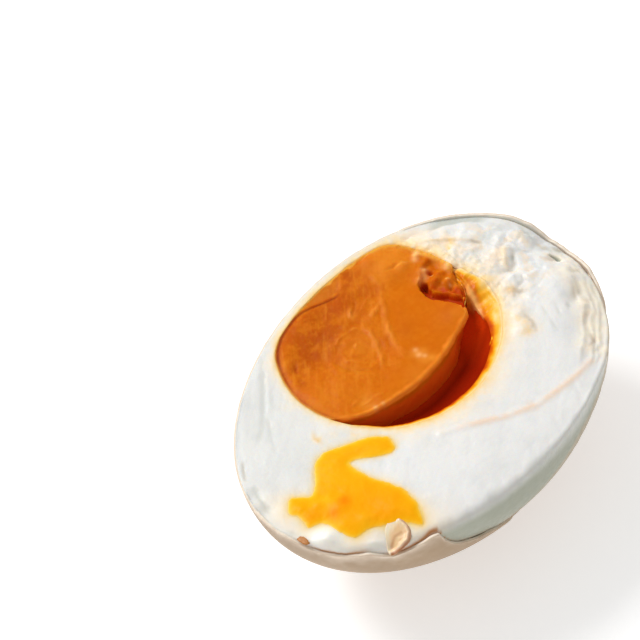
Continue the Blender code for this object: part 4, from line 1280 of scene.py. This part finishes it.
def pad_on_face(name, outline, cell, ragged, form):
    """A thin piece that lies on the cut face inside an outline, as thick as `form` says."""
    low_corner, high_corner = np.min(outline, 0) - 0.6, np.max(outline, 0) + 0.6
    columns, rows = np.ceil((high_corner - low_corner) / cell).astype(int)
    bpy.ops.mesh.primitive_grid_add(x_subdivisions=int(columns), y_subdivisions=int(rows), size=2)
    piece = bpy.context.object
    piece.name = piece.data.name = name
    x, y = lerp(low_corner, high_corner, (points_of(piece)[:, :2] + 1) / 2).T
    depth_in = inside_depth(outline, x, y) + ragged * rough(flat_points(x, y), 1.0, 70)
    rise = np.where(depth_in > 0, form(np.maximum(depth_in, 0), x, y), depth_in)
    place_points(piece, np.stack([x, y, face_height(x, y) + rise], -1))
    bpy.ops.object.mode_set(mode="EDIT")
    bpy.ops.mesh.select_all(action="DESELECT")
    bpy.ops.object.mode_set(mode="OBJECT")
    piece.data.vertices.foreach_set("select", depth_in < -2 * cell)
    return piece, x, y, depth_in


def give_body(piece, wall, offset):
    """Makes a sheet `wall` millimetres thick, below it at an offset of -1."""
    body = piece.modifiers.new("body", "SOLIDIFY")
    body.thickness = wall * MM
    body.offset = offset
    bpy.ops.object.modifier_apply(modifier=body.name)


def cut_out_pad(piece):
    """Deletes what lies outside the outline and gives the rest a body."""
    bpy.ops.object.mode_set(mode="EDIT")
    bpy.ops.mesh.delete(type="VERT")
    bpy.ops.object.mode_set(mode="OBJECT")
    give_body(piece, 0.25, -1)


def spill_form(depth_in, x, y):
    """How thick the pool is."""
    lumps = bumps(SPILL_LUMPS, x, y) + 0.04 * rough(flat_points(x, y), 2.0, 71)
    return SPILL_THICK * (1 - np.exp(-depth_in / 1.4)) + unit(depth_in / 1.2) * lumps


spill, spill_x, spill_y, depth_in = pad_on_face(
    "spilt_yolk", spill_line, SPILL_CELL, 0.18, spill_form)
keep_values(spill, thick=unit(depth_in / 1.2), deep=unit(bumps(SPILL_DEEP, spill_x, spill_y)),
            pale=unit(bumps(SPILL_PALE, spill_x, spill_y)))
cut_out_pad(spill)

paint = Finish("spilt yolk")
thick = paint.value("thick") + 0.20 * (paint.grain(1.6) - 0.5)
colour = paint.coats(
    paint.ramp(thick, (0.0, (255, 218, 130)), (0.2, (255, 196, 50)), (0.5, (255, 182, 10)),
               (1.0, (255, 174, 3))),
    (paint.between(paint.grain(2.4), 0.45, 0.65, 0.0, 0.4) * thick, (255, 166, 1)),
    (paint.value("pale") * 0.6, (255, 196, 32)),
    (paint.value("deep") * 0.8, (255, 134, 0)))
paint.glow(0.08, 0.5, (1.0, 0.7, 0.3))
paint.set(base_color=colour, roughness=0.32, ior=1.42, specular_ior_level=0.08,
          normal=paint.bump(paint.grain(1.1, 2.0), 0.02))
finish_piece(spill, paint.material)
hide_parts("yolk_spill")

# Shell
# A duck egg's shell is hard, chalky and thin, pale with a warm cast, and covered in fine pores.
# It was cut through with the knife, which left its edge chipped, and its front came away.
SHELL_SPOKES = 720
SHELL_RINGS = 34
shell_around = np.arange(SHELL_SPOKES) / SHELL_SPOKES * math.tau
shell_degrees = np.degrees(shell_around)
shell_depth = shell_edge(shell_around)


def shell_wall_rings(inset):
    """Rings from the edge down to the foot."""
    first = down_at(shell_around, shell_depth + 0.02, inset)
    rings = np.stack([egg_point(shell_around, lerp(first, foot_down, part), inset)
                      for part in np.linspace(0, 1, SHELL_RINGS) ** 1.6])
    rings[-1, :, 2] = FOOT + inset
    return rings


outer_wall, inner_wall = shell_wall_rings(0.0), shell_wall_rings(SHELL_WALL)
cut_rings = np.stack([lerp(inner_wall[0], outer_wall[0], part) for part in (0.25, 0.5, 0.75)])
cut_rings[..., 2] += 0.03
shell_rings = np.concatenate([inner_wall[::-1], cut_rings, outer_wall])
shell = ball_of_rings("egg_shell", shell_rings, (0, 0, FOOT + SHELL_WALL), (0, 0, FOOT))
outer, cut = np.zeros((2, *shell_rings.shape[:2]))
outer[SHELL_RINGS + 2:] = 1
cut[SHELL_RINGS - 1:SHELL_RINGS + 4] = 1
from_edge = shell_rings[..., 2] + shell_depth
# Painted shadow: the shell's inner face near its edge is tinted brown like the line on the white
seam = by_angle(SEAM_SHADOW, shell_degrees, 2.0) * (1 - outer) * (1 - cut)
# Painted light: the shell's outside is paler towards its cut edge, further down at the front left
edge_light_reach = 0.7 + 0.3 * band(shell_degrees, 186, 196, 226, 234)
edge_light_noise = rough(shell_rings, 1.2, 83)
worn = np.exp(-np.maximum(-from_edge, 0) / edge_light_reach) * (1 + 0.4 * edge_light_noise) + 0.08 * edge_light_noise
bare_front = band(shell_degrees, 228, 236, 316, 324)
tint(shell, (0, 1), outer=outer)
tint(shell, cut=cut, seam=seam * step(-2.2, -0.8, from_edge),
     worn=unit(worn * (1 - 0.8 * bare_front)) * outer)

paint = Finish("duck egg shell")
pores = paint.node("ShaderNodeTexVoronoi", None, {"Vector": paint.place, "Scale": 2.2})
pits = paint.between(pores, 0.0, 0.16)
outside = paint.coats(
    paint.mix(paint.grain(6.0), (180, 152, 120), (162, 135, 104)),
    # the last coat is painted light near the edge
    (0.22 * (1 - pits), (140, 112, 88)), (paint.value("worn"), (232, 212, 190)))
colour = paint.coats(
    paint.mix(paint.value("seam"), (238, 236, 226), (172, 112, 56)),
    (paint.value("outer"), outside), (paint.value("cut") * 0.6, (232, 212, 188)))
paint.glow(0.1, 0.5, (1.0, 0.7, 0.5))
paint.set(base_color=colour, roughness=0.55,
          normal=paint.bump(pits + 0.6 * paint.grain(0.4), 0.04))
finish_piece(shell, paint.material)
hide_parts("shell")

# Skin between shell and white
# A thin, tough skin lines the shell. It tore when the egg was cut and peeled: at the blunt end its
# layers stand up beside the shell, and at the front a flap has curled over the white.
SKIN_SHEETS = [
    # from and to angle, how far inside the egg, its edge's depth beside the white's, its seed
    (322, 357, 0.62, 0.35, 90),
    (324, 352, 0.98, 0.20, 93),
]
SHEET_DEEP = 3.0
CURL_OUTLINE = [
    (-21.0, -11.4), (-20.4, -12.2), (-20.6, -13.4), (-21.2, -14.3), (-22.3, -14.8), (-23.6, -14.5),
    (-24.9, -13.7), (-24.7, -12.9), (-24.0, -12.2), (-23.0, -11.3), (-21.9, -10.9),
]
CURL_EDGE = [(-20.4, -12.2), (-20.6, -13.4), (-21.2, -14.3), (-22.3, -14.8), (-23.6, -14.5),
             (-24.9, -13.7)]
CURL_CREASE = [(-24.0, -13.0), (-22.8, -12.8), (-21.9, -13.2)]
CRUMB = (-30.1, -3.0)
CRUMB_HALF = (0.42, 0.95, 0.24)

skin_pieces = []
for start, end, inset, rise, seed in SKIN_SHEETS:
    bpy.ops.mesh.primitive_grid_add(x_subdivisions=160, y_subdivisions=16, size=2)
    sheet = bpy.context.object
    along, part = (points_of(sheet)[:, :2].T + 1) / 2
    turn = np.radians(lerp(start, end, along))
    line = egg_point(turn, 0 * turn, 0)
    depth = (by_angle(WHITE_EDGE, np.degrees(turn), 3.0) + rise
             + 1.2 * (1 - np.sin(np.pi * along) ** 0.5)
             + 0.35 * rough(line, 1.8, seed) + 0.15 * flakes(line, 1.1, seed)
             + SHEET_DEEP * (1 - part))
    sway = 0.16 * rough(line, 2.2, seed + 1) * part
    down = down_at(turn, depth, inset + 0 * turn)
    place_points(sheet, egg_point(turn, down, inset - sway))
    skin_pieces.append(sheet)
bpy.ops.object.select_all(action="DESELECT")
for sheet in skin_pieces:
    sheet.select_set(True)
    bpy.context.view_layer.objects.active = sheet
bpy.ops.object.join()
skin = bpy.context.object
skin.name = skin.data.name = "torn_skin"
give_body(skin, 0.10, 0)

paint = Finish("egg skin")
paint.glow(0.4, 0.8, (1.2, 0.8, 0.5))
paint.set(roughness=0.4, normal=paint.bump(paint.grain(0.5), 0.05),
          base_color=paint.mix(paint.between(paint.grain(1.6, 4.0), 0.35, 0.65),
                               (240, 222, 190), (250, 240, 224)))
finish_piece(skin, paint.material)


def curl_form(depth_in, x, y):
    """How far the flap's upper side stands over the white."""
    edge_away, crease_away = (from_line(route, x, y)[0] for route in (CURL_EDGE, CURL_CREASE))
    lumps = 0.05 * rough(flat_points(x, y), 0.9, 91) * unit(depth_in / 0.6)
    form = (0.09 * (1 - np.exp(-depth_in / 0.4)) + 0.24 * soft(edge_away - 0.35, 0.3)
            - 0.06 * soft(crease_away, 0.3) + lumps)
    return np.maximum(form, 0.06)


curl, curl_x, curl_y, depth_in = pad_on_face(
    "curled_skin", smooth_outline(CURL_OUTLINE), 0.07, 0.03, curl_form)
edge_away, edge_along = from_line(CURL_EDGE, curl_x, curl_y)
crease_away, _ = from_line(CURL_CREASE, curl_x, curl_y)
# Painted shade: brown along the flap's curled edge and its crease
keep_values(curl, brown=soft(edge_away, 0.24) * (0.55 + 0.45 * edge_along)
            + 0.4 * soft(crease_away, 0.2),
            peach=step(0.1, 0.9, depth_in) * step(-11.2, -12.6, curl_y))
cut_out_pad(curl)

paint = Finish("curled egg skin")
colour = paint.coats(
    paint.mix(paint.grain(0.9), (252, 232, 204), (244, 212, 174)),
    # the brown coat is painted shade at the curl
    (paint.value("peach") * 0.8, (238, 190, 134)), (paint.value("brown"), (168, 98, 44)))
paint.glow(0.3, 0.6, (1.2, 0.7, 0.4))
paint.set(base_color=colour, roughness=0.35)
finish_piece(curl, paint.material)

bpy.ops.mesh.primitive_ico_sphere_add(subdivisions=3, radius=1)
crumb = bpy.context.object
crumb.name = crumb.data.name = "brown_crumb"
ball = points_of(crumb)
ball = ball * (1 + 0.45 * rough(ball, 0.8, 99))[:, None] * CRUMB_HALF
place_points(crumb, ball + (*CRUMB, float(face_height(*np.array(CRUMB)))))
paint = Finish("brown crumb")
paint.set(base_color=paint.mix(paint.grain(0.5, 2.0), (206, 142, 74), (168, 98, 36)),
          roughness=0.5)
finish_piece(crumb, paint.material)
